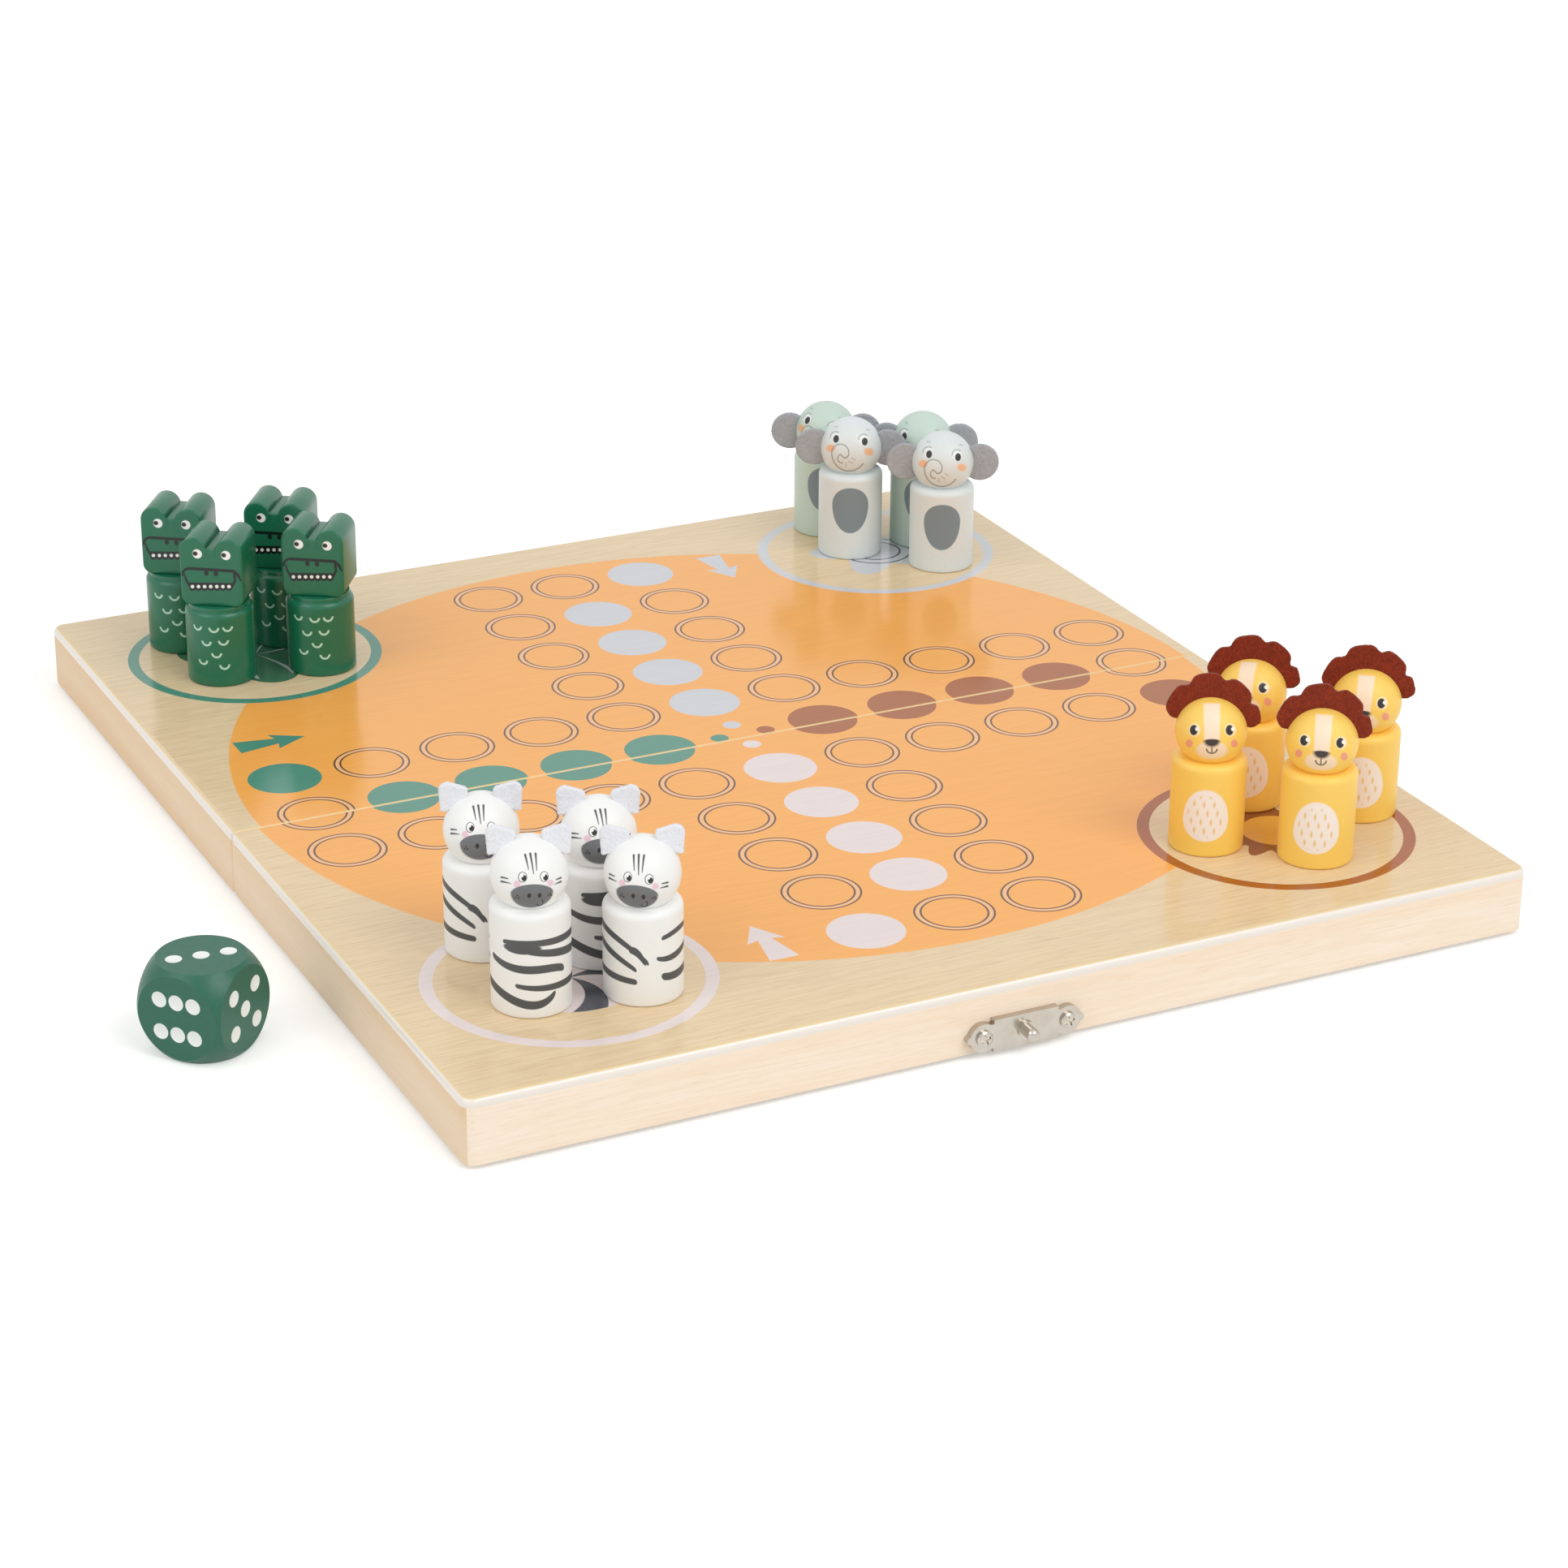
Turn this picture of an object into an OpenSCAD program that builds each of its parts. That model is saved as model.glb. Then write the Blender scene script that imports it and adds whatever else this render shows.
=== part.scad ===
// Folding board-game box: two shallow trays that fold on two small hinges, with a hook and
// stud catch, sixteen wooden pawns and a die. X runs along the fold, +Y to the back, +Z up.
// The origin is the middle of the fold line, in the plane of the tray rims (open, face up).

/* [Board] */
// Width of the board along the fold
board_w = 272; // [220:1:360]
// Depth of one half, from the fold to its far edge
half_d = 150; // [130:1:200]
// Height of one half, from its rim to the playing face
board_h = 16; // [14:0.5:22]
// Thickness of the plywood playing panel
panel_t = 2.2; // [2:0.1:4]
// Thickness of the pine rails
rail_t = 9; // [8:0.5:12]
// Radius of the upright corners at the far edge
corner_r = 3; // [2:0.5:6]
// Radius of the upright corners at the fold
fold_corner_r = 1.2; // [0.4:0.1:2]
// Rounding of the playing face along the far edge and the sides
edge_r = 1.5; // [0.5:0.25:1.75]
// Rounding of the playing face along the fold
fold_edge_r = 0.4; // [0.1:0.1:1]
// Gap between the two halves at the seam
seam_gap = 0.3; // [0.1:0.1:0.8]

/* [Hinges] */
// Distance of each hinge's middle from the side of the board
hinge_inset = 46; // [25:1:80]
// Length of a hinge along the fold
hinge_l = 20; // [16:1:30]
// Reach of a leaf from the hinge axis
leaf_w = 7.5; // [6.5:0.5:7.5]
// Thickness of a leaf
leaf_t = 0.7; // [0.5:0.1:0.9]
// Depth of a leaf's outer face below the rim
leaf_recess = 0.1; // [0:0.05:0.2]
// Outer radius of the hinge barrel
barrel_r = 1.1; // [1:0.05:1.4]
// Radius of the hinge pin
pin_r = 0.5; // [0.35:0.05:0.6]
// Radial play of the pin in its knuckles
pin_play = 0.05; // [0.02:0.01:0.1]
// Gap between neighbouring knuckles
knuckle_gap = 0.15; // [0.1:0.05:0.4]
// Room round the barrel in the wood
barrel_room = 0.4; // [0.3:0.1:0.8]
// Length of a hinge screw from the leaf's face
hinge_screw_l = 6; // [4:0.5:9]
// Radius of a hinge screw's shank
hinge_screw_r = 0.8; // [0.6:0.05:0.9]
// Radius of a hinge screw's countersunk head
hinge_head_r = 1.5; // [1.2:0.1:1.8]

/* [Catch] */
// Place of the catch along the far edges, from the middle
catch_x = -1.3; // [-40:0.1:40]
// Length of a catch plate
plate_l = 30; // [28:0.5:36]
// Height of a catch plate
plate_h = 8; // [7.5:0.5:9]
// Thickness of a catch plate
plate_t = 1.8; // [1:0.1:2.4]
// Gap from the rim to the plate's lower edge
plate_edge = 0.2; // [0.1:0.1:1.5]
// Distance between the two plate screws
screw_pitch = 21.5; // [20:0.5:23]
// Radius of the plate screws' pan heads
pan_r = 2; // [1.7:0.1:2.2]
// Height of the pan heads
pan_h = 0.9; // [0.6:0.1:1]
// Radius of the plate screws' shanks
shank_r = 1; // [0.8:0.1:1.2]
// Length of a plate screw below its head
shank_l = 8; // [6:0.5:9]
// Radius of the catch stud
stud_r = 1.5; // [1.2:0.1:1.7]
// Height of the stud above its plate
stud_l = 4.4; // [4:0.1:6]
// Height of the hook above its plate
hook_lift = 1.3; // [1.2:0.1:1.5]
// Thickness of the hook
hook_t = 1; // [0.8:0.1:1.2]
// Width of metal round the hook's mouth
hook_wall = 1.4; // [1.1:0.1:1.6]
// Play between the stud and the hook's mouth
mouth_play = 0.3; // [0.2:0.05:0.5]
// Radius of the hook's rivet
rivet_r = 1.2; // [0.9:0.1:1.4]
// Radius of the rivet's domed head
rivet_head_r = 2.2; // [1.8:0.1:2.6]

/* [Pawns] */
// Radius of a pawn's body
pawn_r = 9; // [7:0.5:9.3]
// Usual height of a round-headed pawn's body
body_h = 23.6; // [20:0.1:30]
// Radius of a round head
head_r = 8.6; // [7:0.1:9]
// Height of a round head's centre above the body
head_up = 6.1; // [5:0.1:6.6]
// Rounding of the body's upper edge
shoulder_r = 1.8; // [0.5:0.1:2]
// Rounding of the body's lower edge
foot_r = 0.6; // [0.2:0.1:1.2]
// Thickness of the felt ears and manes
felt_t = 1.3; // [0.8:0.1:2]
// Radius of an elephant's ear
ear_r = 5.3; // [4:0.1:6]
// Distance of an elephant's ear from the middle of the head
ear_out = 10.4; // [9.5:0.1:12.5]
// Outer radius of a lion's mane at its top
mane_r = 14.6; // [12:0.1:16]
// Depth of the notches in a mane
mane_notch = 1.3; // [0.5:0.1:2]
// How far a mane draws in at its sides
mane_tuck = 2.7; // [0:0.1:3]
// Height of a crocodile's body
croc_body_h = 20.6; // [18:0.2:26]
// Width of a crocodile's head block
snout_w = 16.6; // [14:0.2:17.6]
// Depth of a crocodile's head block
snout_d = 14.3; // [11:0.1:15]
// Distance of a crocodile's face from the middle of its body
snout_front = 5.8; // [5:0.1:7]
// Height of a crocodile's head block
snout_h = 18.6; // [16:0.1:20]
// Radius of the two bumps on a crocodile's head
bump_r = 3.6; // [3:0.1:4]
// Depth of the dip between the bumps
dip_h = 2.8; // [1.5:0.1:3.2]

/* [Places] */
// Distance of a camp's centre from the side of the board
camp_side = 43; // [38:0.5:48]
// Distance of a camp's centre from the far edge of a half
camp_end = 44; // [39:0.5:52]
// Gap between the board's side and the die's middle
die_out = 30.6; // [20:0.1:50]
// Distance of the die's middle from the fold
die_front = 69.7; // [30:0.1:110]
// Turn of the die about the upright
die_turn = 39; // [0:1:89]

/* [Die] */
// Size of the die across its faces
die_s = 22; // [18:0.5:28]
// Diameter of the ball that rounds the die's corners and edges
die_ball_d = 30; // [28.5:0.1:31]
// Distance between neighbouring pips
pip_pitch = 4.4; // [4:0.1:5]
// Radius of a pip
pip_r = 1.9; // [1.2:0.05:2]
// Depth of a pip
pip_depth = 0.35; // [0.2:0.05:0.6]

/* [Hidden] */
$fn = 64;

// Small clearances and overlaps of cutters
cut = 0.5;
screw_play = 0.05;
pocket_play = 0.1;
felt_play = 0.02;

rail_h = board_h - panel_t;
hinge_x = board_w / 2 - hinge_inset;
knuckle_l = hinge_l / 3;
leaf_screw_x = hinge_l / 2 - 4;
leaf_screw_y = (barrel_r + leaf_w) / 2 + 0.3;
plate_z = plate_h / 2 + plate_edge;
hook_reach = 2 * plate_z;
mouth_r = stud_r + mouth_play;
hook_end_r = mouth_r + hook_wall;
hook_play = 0.05;
rivet_head_h = 0.9;
collar_r = stud_r + 0.6;
collar_h = 0.7;
neck_r = pawn_r - 1;
neck_h = 0.9;
camp_x = board_w / 2 - camp_side;
camp_y = half_d - camp_end;

// Each camp: its middle, the way its pawns face in degrees, and each pawn's offset from the middle,
// with how much taller its turned body is than usual
zebra_camp = [-camp_x, -camp_y];
zebra_spots = [[-12, -7, 1.7], [12.6, -12.4, -0.9], [-11.2, 22.7, -0.3], [11, 8, 0.6]];
zebra_face = -113;
lion_camp = [camp_x, -camp_y];
lion_spots = [[-19.1, 1.4, -0.3], [0.9, -15.8, -0.1], [3.4, 19.3, -1], [25.2, 2.1, -1]];
lion_face = -124;
elephant_camp = [camp_x, camp_y];
elephant_spots = [[-6, 4.4, 1.1], [12.5, -16, 0.5], [-4.3, 23.5, -0.3], [16.6, 3.7, -0.2]];
elephant_face = -117;
crocodile_camp = [-camp_x, camp_y];
crocodile_spots = [[-12.3, -9.7, 0], [13.8, -14.1, 0], [-14.4, 16.5, 0], [11.6, 9, 0]];
crocodile_face = -124;

// ---- Shared shapes ----

// What a rounding of radius e takes off an upper edge: a square less a quarter disc,
// with the edge itself at the origin and the wood on the -X side
module edge_waste(e) {
    difference() {
        translate([-e, -e]) square([e + cut, e + cut]);
        translate([-e, -e]) circle(r = e);
    }
}

// Cutter that rounds the playing face of the front half all the way round
module face_edge_cutter() {
    depth = half_d - seam_gap / 2;
    translate([0, -half_d, board_h]) {
        translate([board_w / 2 - corner_r, 0, 0]) rotate([90, 0, -90])
            linear_extrude(board_w - 2 * corner_r) edge_waste(edge_r);
        for (m = [0, 1]) mirror([m, 0, 0]) {
            translate([-board_w / 2, corner_r, 0]) rotate([90, 0, 180])
                linear_extrude(depth - corner_r + cut) edge_waste(edge_r);
            translate([corner_r - board_w / 2, corner_r, 0]) rotate([0, 0, 180])
                rotate_extrude(angle = 90) translate([corner_r, 0]) edge_waste(edge_r);
        }
        translate([-board_w / 2 - cut, depth, 0]) rotate([90, 0, 90])
            linear_extrude(board_w + 2 * cut) edge_waste(fold_edge_r);
    }
}

// One half's outline as a plate, with the fold along y = 0 and the body on the -Y side
module half_blank(z0, z1) {
    depth = half_d - seam_gap / 2;
    h = z1 - z0;
    translate([-board_w / 2, -half_d, z0]) {
        translate([corner_r, 0, 0]) cube([board_w - 2 * corner_r, depth - fold_corner_r, h]);
        translate([0, corner_r, 0]) cube([board_w, depth - corner_r - fold_corner_r, h]);
        translate([fold_corner_r, corner_r, 0]) cube([board_w - 2 * fold_corner_r, depth - corner_r, h]);
        for (x = [corner_r, board_w - corner_r])
            translate([x, corner_r, 0]) cylinder(r = corner_r, h = h);
        for (x = [fold_corner_r, board_w - fold_corner_r])
            translate([x, depth - fold_corner_r, 0]) cylinder(r = fold_corner_r, h = h);
    }
}

// Drawn for the front half, turned over to the back half where back is true
module on_half(back) {
    if (back) mirror([0, 1, 0]) children();
    else children();
}

// ---- Wooden halves ----

module play_panel(back) {
    color([0.93, 0.78, 0.58]) on_half(back) difference() {
        half_blank(rail_h, board_h);
        face_edge_cutter();
    }
}

// The mitred rail frame below the panel, before it is parted into rails
module rail_ring() {
    difference() {
        half_blank(0, rail_h);
        translate([rail_t - board_w / 2, rail_t - half_d, -cut])
            cube([board_w - 2 * rail_t, half_d - seam_gap / 2 - 2 * rail_t, rail_h + 2 * cut]);
    }
}

// Wedge that keeps the rail on one side of the ring: a trapezium with 45 degree ends
module mitre_keep(length, reach) {
    translate([0, 0, -cut]) linear_extrude(rail_h + 2 * cut)
        polygon([[-length / 2, 0], [length / 2, 0], [length / 2 - reach, reach], [reach - length / 2, reach]]);
}

module hinge_recess(x) {
    translate([x - hinge_l / 2 - pocket_play, -leaf_w - pocket_play, -cut])
        cube([hinge_l + 2 * pocket_play, leaf_w + pocket_play + cut, leaf_t + leaf_recess + cut]);
    translate([x - hinge_l / 2 - barrel_room, 0, 0]) rotate([0, 90, 0])
        cylinder(r = barrel_r + barrel_room, h = hinge_l + 2 * barrel_room);
}

module fold_rail(back) {
    color([0.96, 0.89, 0.78]) on_half(back) difference() {
        intersection() {
            rail_ring();
            translate([0, -seam_gap / 2, 0]) mirror([0, 1, 0]) mitre_keep(board_w, rail_t + cut);
        }
        for (side = [-1, 1]) {
            hinge_recess(side * hinge_x);
            for (s = [-1, 1]) translate([side * hinge_x + s * leaf_screw_x, -leaf_screw_y, -cut])
                cylinder(r = hinge_screw_r + screw_play, h = hinge_screw_l + leaf_recess + cut);
        }
    }
}

module outer_rail(back) {
    color([0.96, 0.89, 0.78]) on_half(back) difference() {
        intersection() {
            rail_ring();
            translate([0, -half_d, 0]) mitre_keep(board_w, rail_t + cut);
        }
        for (s = [-1, 1]) translate([catch_x + s * screw_pitch / 2, -half_d - cut, plate_z])
            rotate([-90, 0, 0]) cylinder(r = shank_r + screw_play, h = shank_l - plate_t + screw_play + cut);
    }
}

module side_rail(back, side) {
    color([0.95, 0.87, 0.75]) on_half(back) intersection() {
        rail_ring();
        translate([side * board_w / 2, -half_d / 2 - seam_gap / 4, 0]) rotate([0, 0, side * 90])
            mitre_keep(half_d - seam_gap / 2, rail_t + cut);
    }
}

// ---- Hinges ----

module screw_holes(x, r, h) {
    for (s = [-1, 1]) translate([x + s * leaf_screw_x, -leaf_screw_y, 0]) cylinder(r = r, h = h);
}

// A leaf on the -Y side with its knuckles; own lists the knuckles it carries, from 0 to 2
module leaf(x, own) {
    color([0.78, 0.76, 0.72]) difference() {
        union() {
            translate([x - hinge_l / 2, -leaf_w, leaf_recess])
                cube([hinge_l, leaf_w - barrel_r - barrel_room, leaf_t]);
            for (k = own) translate([x - hinge_l / 2 + k * knuckle_l + (k > 0 ? knuckle_gap : 0), 0, 0]) {
                l = knuckle_l - (k > 0 ? knuckle_gap : 0) - (k < 2 ? knuckle_gap : 0);
                rotate([0, 90, 0]) cylinder(r = barrel_r, h = l);
                translate([0, -barrel_r - barrel_room - cut, leaf_recess])
                    cube([l, barrel_r + barrel_room + cut - pin_r, leaf_t]);
            }
        }
        translate([x - hinge_l / 2 - cut, 0, 0]) rotate([0, 90, 0])
            cylinder(r = pin_r + pin_play, h = hinge_l + 2 * cut);
        for (s = [-1, 1]) translate([x + s * leaf_screw_x, -leaf_screw_y, leaf_recess])
            cylinder(r1 = hinge_head_r + screw_play, r2 = hinge_screw_r + screw_play, h = leaf_t);
    }
}

module hinge_pin(x) {
    color([0.7, 0.69, 0.66]) translate([x - hinge_l / 2, 0, 0]) rotate([0, 90, 0])
        cylinder(r = pin_r, h = hinge_l);
}

// Cross-shaped driver recess, cut into a head whose top is at z = 0
module cross_recess(width, depth) {
    for (a = [0, 90]) rotate([0, 0, a + 20]) translate([-width / 2, -width / 8, -depth])
        cube([width, width / 4, depth + cut]);
}

module hinge_screws(back) {
    color([0.8, 0.79, 0.76]) on_half(back) for (side = [-1, 1], s = [-1, 1])
        translate([side * hinge_x + s * leaf_screw_x, -leaf_screw_y, leaf_recess]) difference() {
            union() {
                cylinder(r1 = hinge_head_r, r2 = hinge_screw_r, h = leaf_t);
                cylinder(r = hinge_screw_r, h = hinge_screw_l);
            }
            mirror([0, 0, 1]) cross_recess(hinge_head_r * 1.3, leaf_t * 0.6);
        }
}

// ---- Catch: drawn lying on its plate, +Z away from the wood, +Y towards the other half ----

// Moves a catch piece onto the far edge of the front half, or of the back half
module on_far_edge(back) {
    if (back) translate([catch_x, half_d, plate_z]) rotate([-90, 0, 0]) children();
    else translate([catch_x, -half_d, plate_z]) rotate([90, 0, 0]) children();
}

// Plate outline: a wide middle, a round lobe about each screw and a small round tip
module plate_outline() {
    tip_r = plate_h * 0.11;
    lobe_r = plate_h * 0.44;
    square([screw_pitch - 2.5 * pan_r, plate_h], center = true);
    square([screw_pitch, plate_h * 0.76], center = true);
    square([plate_l - 2 * tip_r, 2 * tip_r], center = true);
    for (s = [-1, 1]) {
        translate([s * screw_pitch / 2, 0]) circle(r = lobe_r);
        translate([s * (plate_l / 2 - tip_r), 0]) circle(r = tip_r);
    }
}

module catch_plate(back) {
    centre_r = back ? rivet_r : stud_r;
    color([0.8, 0.78, 0.75]) on_far_edge(back) difference() {
        linear_extrude(plate_t) plate_outline();
        translate([0, 0, -cut]) cylinder(r = centre_r + screw_play, h = plate_t + 2 * cut);
        for (s = [-1, 1]) translate([s * screw_pitch / 2, 0, -cut])
            cylinder(r = shank_r + screw_play, h = plate_t + 2 * cut);
    }
}

module plate_screws(back) {
    color([0.82, 0.81, 0.79]) on_far_edge(back) for (s = [-1, 1])
        translate([s * screw_pitch / 2, 0, plate_t]) difference() {
            union() {
                cylinder(r = pan_r, h = pan_h - 0.3);
                translate([0, 0, pan_h - 0.3]) cylinder(r1 = pan_r, r2 = pan_r - 0.45, h = 0.3);
                translate([0, 0, -shank_l]) cylinder(r = shank_r, h = shank_l + 0.1);
            }
            translate([0, 0, pan_h]) cross_recess(pan_r * 1.3, pan_h * 0.6);
        }
}

module catch_stud() {
    color([0.82, 0.8, 0.77]) on_far_edge(false) {
        cylinder(r = stud_r, h = plate_t + stud_l - stud_r);
        translate([0, 0, plate_t]) cylinder(r = collar_r, h = collar_h);
        translate([0, 0, plate_t + stud_l - stud_r]) sphere(r = stud_r);
    }
}

module hook_rivet() {
    hook_z = plate_t + hook_lift;
    color([0.82, 0.8, 0.77]) on_far_edge(true) {
        cylinder(r = rivet_r, h = hook_z + hook_t + 2 * hook_play);
        translate([0, 0, plate_t]) cylinder(r = rivet_head_r, h = hook_lift - hook_play);
        translate([0, 0, hook_z + hook_t + hook_play]) {
            cylinder(r = rivet_head_r, h = rivet_head_h - 0.4);
            translate([0, 0, rivet_head_h - 0.4]) cylinder(r1 = rivet_head_r, r2 = rivet_head_r - 0.9, h = 0.4);
        }
    }
}

// The hook lies along +X; its mouth is an arc about the rivet, open on the side it swings to
module catch_hook() {
    tab_r = 1.3;
    color([0.8, 0.78, 0.75]) on_far_edge(true) translate([0, 0, plate_t + hook_lift]) difference() {
        union() {
            cylinder(r = rivet_head_r + 0.8, h = hook_t);
            translate([0, -rivet_head_r, 0]) cube([hook_reach, 2 * rivet_head_r, hook_t]);
            translate([hook_reach, 0, 0]) cylinder(r = hook_end_r, h = hook_t);
            translate([hook_reach + hook_end_r, -tab_r, 0]) cylinder(r = tab_r, h = hook_t);
        }
        translate([0, 0, -cut]) cylinder(r = rivet_r + hook_play, h = hook_t + 2 * cut);
        translate([hook_reach, 0, -cut]) cylinder(r = mouth_r, h = hook_t + 2 * cut);
        translate([0, 0, -cut]) rotate_extrude(angle = 45, $fn = 96)
            translate([hook_reach - mouth_r, 0]) square([2 * mouth_r, hook_t + 2 * cut]);
    }
}

// ---- Pawns: drawn at the origin, facing +X, standing on z = 0 ----

// Puts a pawn piece on the playing face at spot, turned to face the given way
module on_board(camp, spot, facing) {
    translate([camp[0] + spot[0], camp[1] + spot[1], board_h]) rotate([0, 0, facing]) children();
}

// A turned body with a rounded foot and shoulder
module turned_body(h) {
    rotate_extrude() {
        square([pawn_r - shoulder_r, h]);
        translate([0, foot_r]) square([pawn_r, h - foot_r - shoulder_r]);
        square([pawn_r - foot_r, h - shoulder_r]);
        translate([pawn_r - shoulder_r, h - shoulder_r]) circle(r = shoulder_r);
        translate([pawn_r - foot_r, foot_r]) circle(r = foot_r);
    }
}

module round_pawn(taller, tint) {
    color(tint) {
        turned_body(body_h + taller);
        translate([0, 0, body_h + taller + head_up]) sphere(r = head_r);
    }
}

// Felt that stands upright across the middle of the head, cut to fit round it
module felt_piece(taller, tint) {
    color(tint) translate([0, 0, body_h + taller + head_up]) difference() {
        translate([felt_t / 2, 0, 0]) rotate([90, 0, -90]) linear_extrude(felt_t) children();
        sphere(r = head_r + felt_play);
        mirror([0, 0, 1]) translate([0, 0, head_up - felt_play]) cylinder(r = pawn_r + cut, h = body_h);
    }
}

// One petal-shaped zebra ear: narrow at the head, with a round upper and a pointed lower corner,
// drawn for a head of radius drawn_r and scaled with the head
module zebra_ear() {
    drawn_r = 8.6;
    k = head_r / drawn_r;
    hull() {
        translate([4, 9.3] * k) circle(r = 1.2 * k, $fn = 24);
        translate([7.3, 9.4] * k) circle(r = 2.1 * k, $fn = 24);
        translate([8.5, 5] * k) circle(r = 0.6 * k, $fn = 24);
        translate([4.4, 6] * k) circle(r = 0.8 * k, $fn = 24);
    }
}

module zebra_ears(taller) {
    felt_piece(taller, [0.93, 0.93, 0.96]) for (m = [0, 1]) mirror([m, 0]) zebra_ear();
}

module elephant_ears(taller) {
    felt_piece(taller, [0.65, 0.62, 0.63]) for (s = [-1, 1]) translate([s * ear_out, 0]) circle(r = ear_r);
}

// Scalloped half ring: four lobes over the top of the head, with a narrow notch between lobes.
// The ends and the notches are angles, anticlockwise as seen from behind.
module lion_mane(taller) {
    edges = [16, 63, 102, 141, 172];
    steps = 14;
    felt_piece(taller, [0.43, 0.19, 0.1]) polygon(concat([[0, 0]], [for (lobe = [0:3], i = [0:steps])
        let (a = edges[lobe] + (edges[lobe + 1] - edges[lobe]) * i / steps,
             r = mane_r - mane_notch * pow(abs(cos(180 * i / steps)), 7) - mane_tuck * pow(cos(a), 2))
        [r * cos(a), r * sin(a)]]));
}

module crocodile_body() {
    color([0.13, 0.42, 0.29]) {
        turned_body(croc_body_h);
        cylinder(r = neck_r, h = croc_body_h + neck_h);
    }
}

// Head block: rounded below, with two bumps and a dip above, cut from one profile
module crocodile_head() {
    chin_r = 2.5;
    bump_x = snout_w / 2 - bump_r;
    bump_z = snout_h - bump_r;
    color([0.13, 0.42, 0.29]) translate([snout_front, 0, croc_body_h + neck_h])
        rotate([90, 0, -90]) linear_extrude(snout_d) {
            translate([-snout_w / 2, chin_r]) square([snout_w, bump_z - chin_r]);
            translate([chin_r - snout_w / 2, 0]) square([snout_w - 2 * chin_r, chin_r * 2]);
            translate([-bump_x, chin_r]) square([2 * bump_x, snout_h - dip_h - chin_r]);
            for (s = [-1, 1]) {
                translate([s * (snout_w / 2 - chin_r), chin_r]) circle(r = chin_r);
                translate([s * bump_x, bump_z]) circle(r = bump_r);
            }
        }
}

// ---- Die ----

// Pip places on a face, in pitches from its middle; the six lies in two rows of three
function pips(n) =
    n == 1 ? [[0, 0]] :
    n == 2 ? [[-1, -1], [1, 1]] :
    n == 3 ? [[-1, 1], [0, 0], [1, -1]] :
    n == 4 ? [[-1, -1], [-1, 1], [1, -1], [1, 1]] :
    n == 5 ? [[-1, -1], [-1, 1], [0, 0], [1, -1], [1, 1]] :
             [for (row = [-0.9, 0.9], i = [-1, 0, 1]) [row, i]];

module die() {
    bite_r = (pip_r * pip_r + pip_depth * pip_depth) / (2 * pip_depth);
    turns = [[0, 0, 0], [180, 0, 0], [90, 0, 0], [-90, 0, 0], [0, 90, 0], [0, -90, 0]];
    counts = [3, 4, 5, 2, 1, 6];
    color([0.15, 0.36, 0.29])
        translate([-board_w / 2 - die_out, -die_front, die_s / 2 - barrel_r]) rotate([0, 0, die_turn])
            difference() {
                intersection() {
                    cube(die_s, center = true);
                    sphere(d = die_ball_d, $fn = 96);
                }
                for (f = [0:5]) rotate(turns[f]) for (p = pips(counts[f]))
                    translate([p[0] * pip_pitch, p[1] * pip_pitch, die_s / 2 + bite_r - pip_depth])
                        sphere(r = bite_r);
            }
}

// ---- Nodes ----

play_panel(false);  // front_play_panel
outer_rail(false);  // front_outer_rail
fold_rail(false);  // front_fold_rail
side_rail(false, -1);  // front_left_rail
side_rail(false, 1);  // front_right_rail
play_panel(true);  // back_play_panel
outer_rail(true);  // back_outer_rail
fold_rail(true);  // back_fold_rail
side_rail(true, -1);  // back_left_rail
side_rail(true, 1);  // back_right_rail
leaf(-hinge_x, [0, 2]);  // left_hinge_front_leaf
mirror([0, 1, 0]) leaf(-hinge_x, [1]);  // left_hinge_back_leaf
hinge_pin(-hinge_x);  // left_hinge_pin
leaf(hinge_x, [0, 2]);  // right_hinge_front_leaf
mirror([0, 1, 0]) leaf(hinge_x, [1]);  // right_hinge_back_leaf
hinge_pin(hinge_x);  // right_hinge_pin
hinge_screws(false);  // front_hinge_screws
hinge_screws(true);  // back_hinge_screws
catch_plate(false);  // stud_plate
catch_stud();
plate_screws(false);  // stud_plate_screws
catch_plate(true);  // hook_plate
hook_rivet();
plate_screws(true);  // hook_plate_screws
catch_hook();
for (i = [0:3]) {
    on_board(zebra_camp, zebra_spots[i], zebra_face) round_pawn(zebra_spots[i][2], [0.93, 0.93, 0.91]);
    on_board(zebra_camp, zebra_spots[i], zebra_face) zebra_ears(zebra_spots[i][2]);
    on_board(lion_camp, lion_spots[i], lion_face) round_pawn(lion_spots[i][2], [1, 0.78, 0.35]);
    on_board(lion_camp, lion_spots[i], lion_face) lion_mane(lion_spots[i][2]);
    on_board(elephant_camp, elephant_spots[i], elephant_face)
            round_pawn(elephant_spots[i][2], [0.84, 0.86, 0.82]);
    on_board(elephant_camp, elephant_spots[i], elephant_face) elephant_ears(elephant_spots[i][2]);
    on_board(crocodile_camp, crocodile_spots[i], crocodile_face) crocodile_body();
    on_board(crocodile_camp, crocodile_spots[i], crocodile_face) crocodile_head();
}
die();
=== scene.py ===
"""The folding board-game box, open, with its pawns and die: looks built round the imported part."""
from functools import reduce
from math import cos, hypot, pi, radians, sin
from operator import or_

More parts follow.
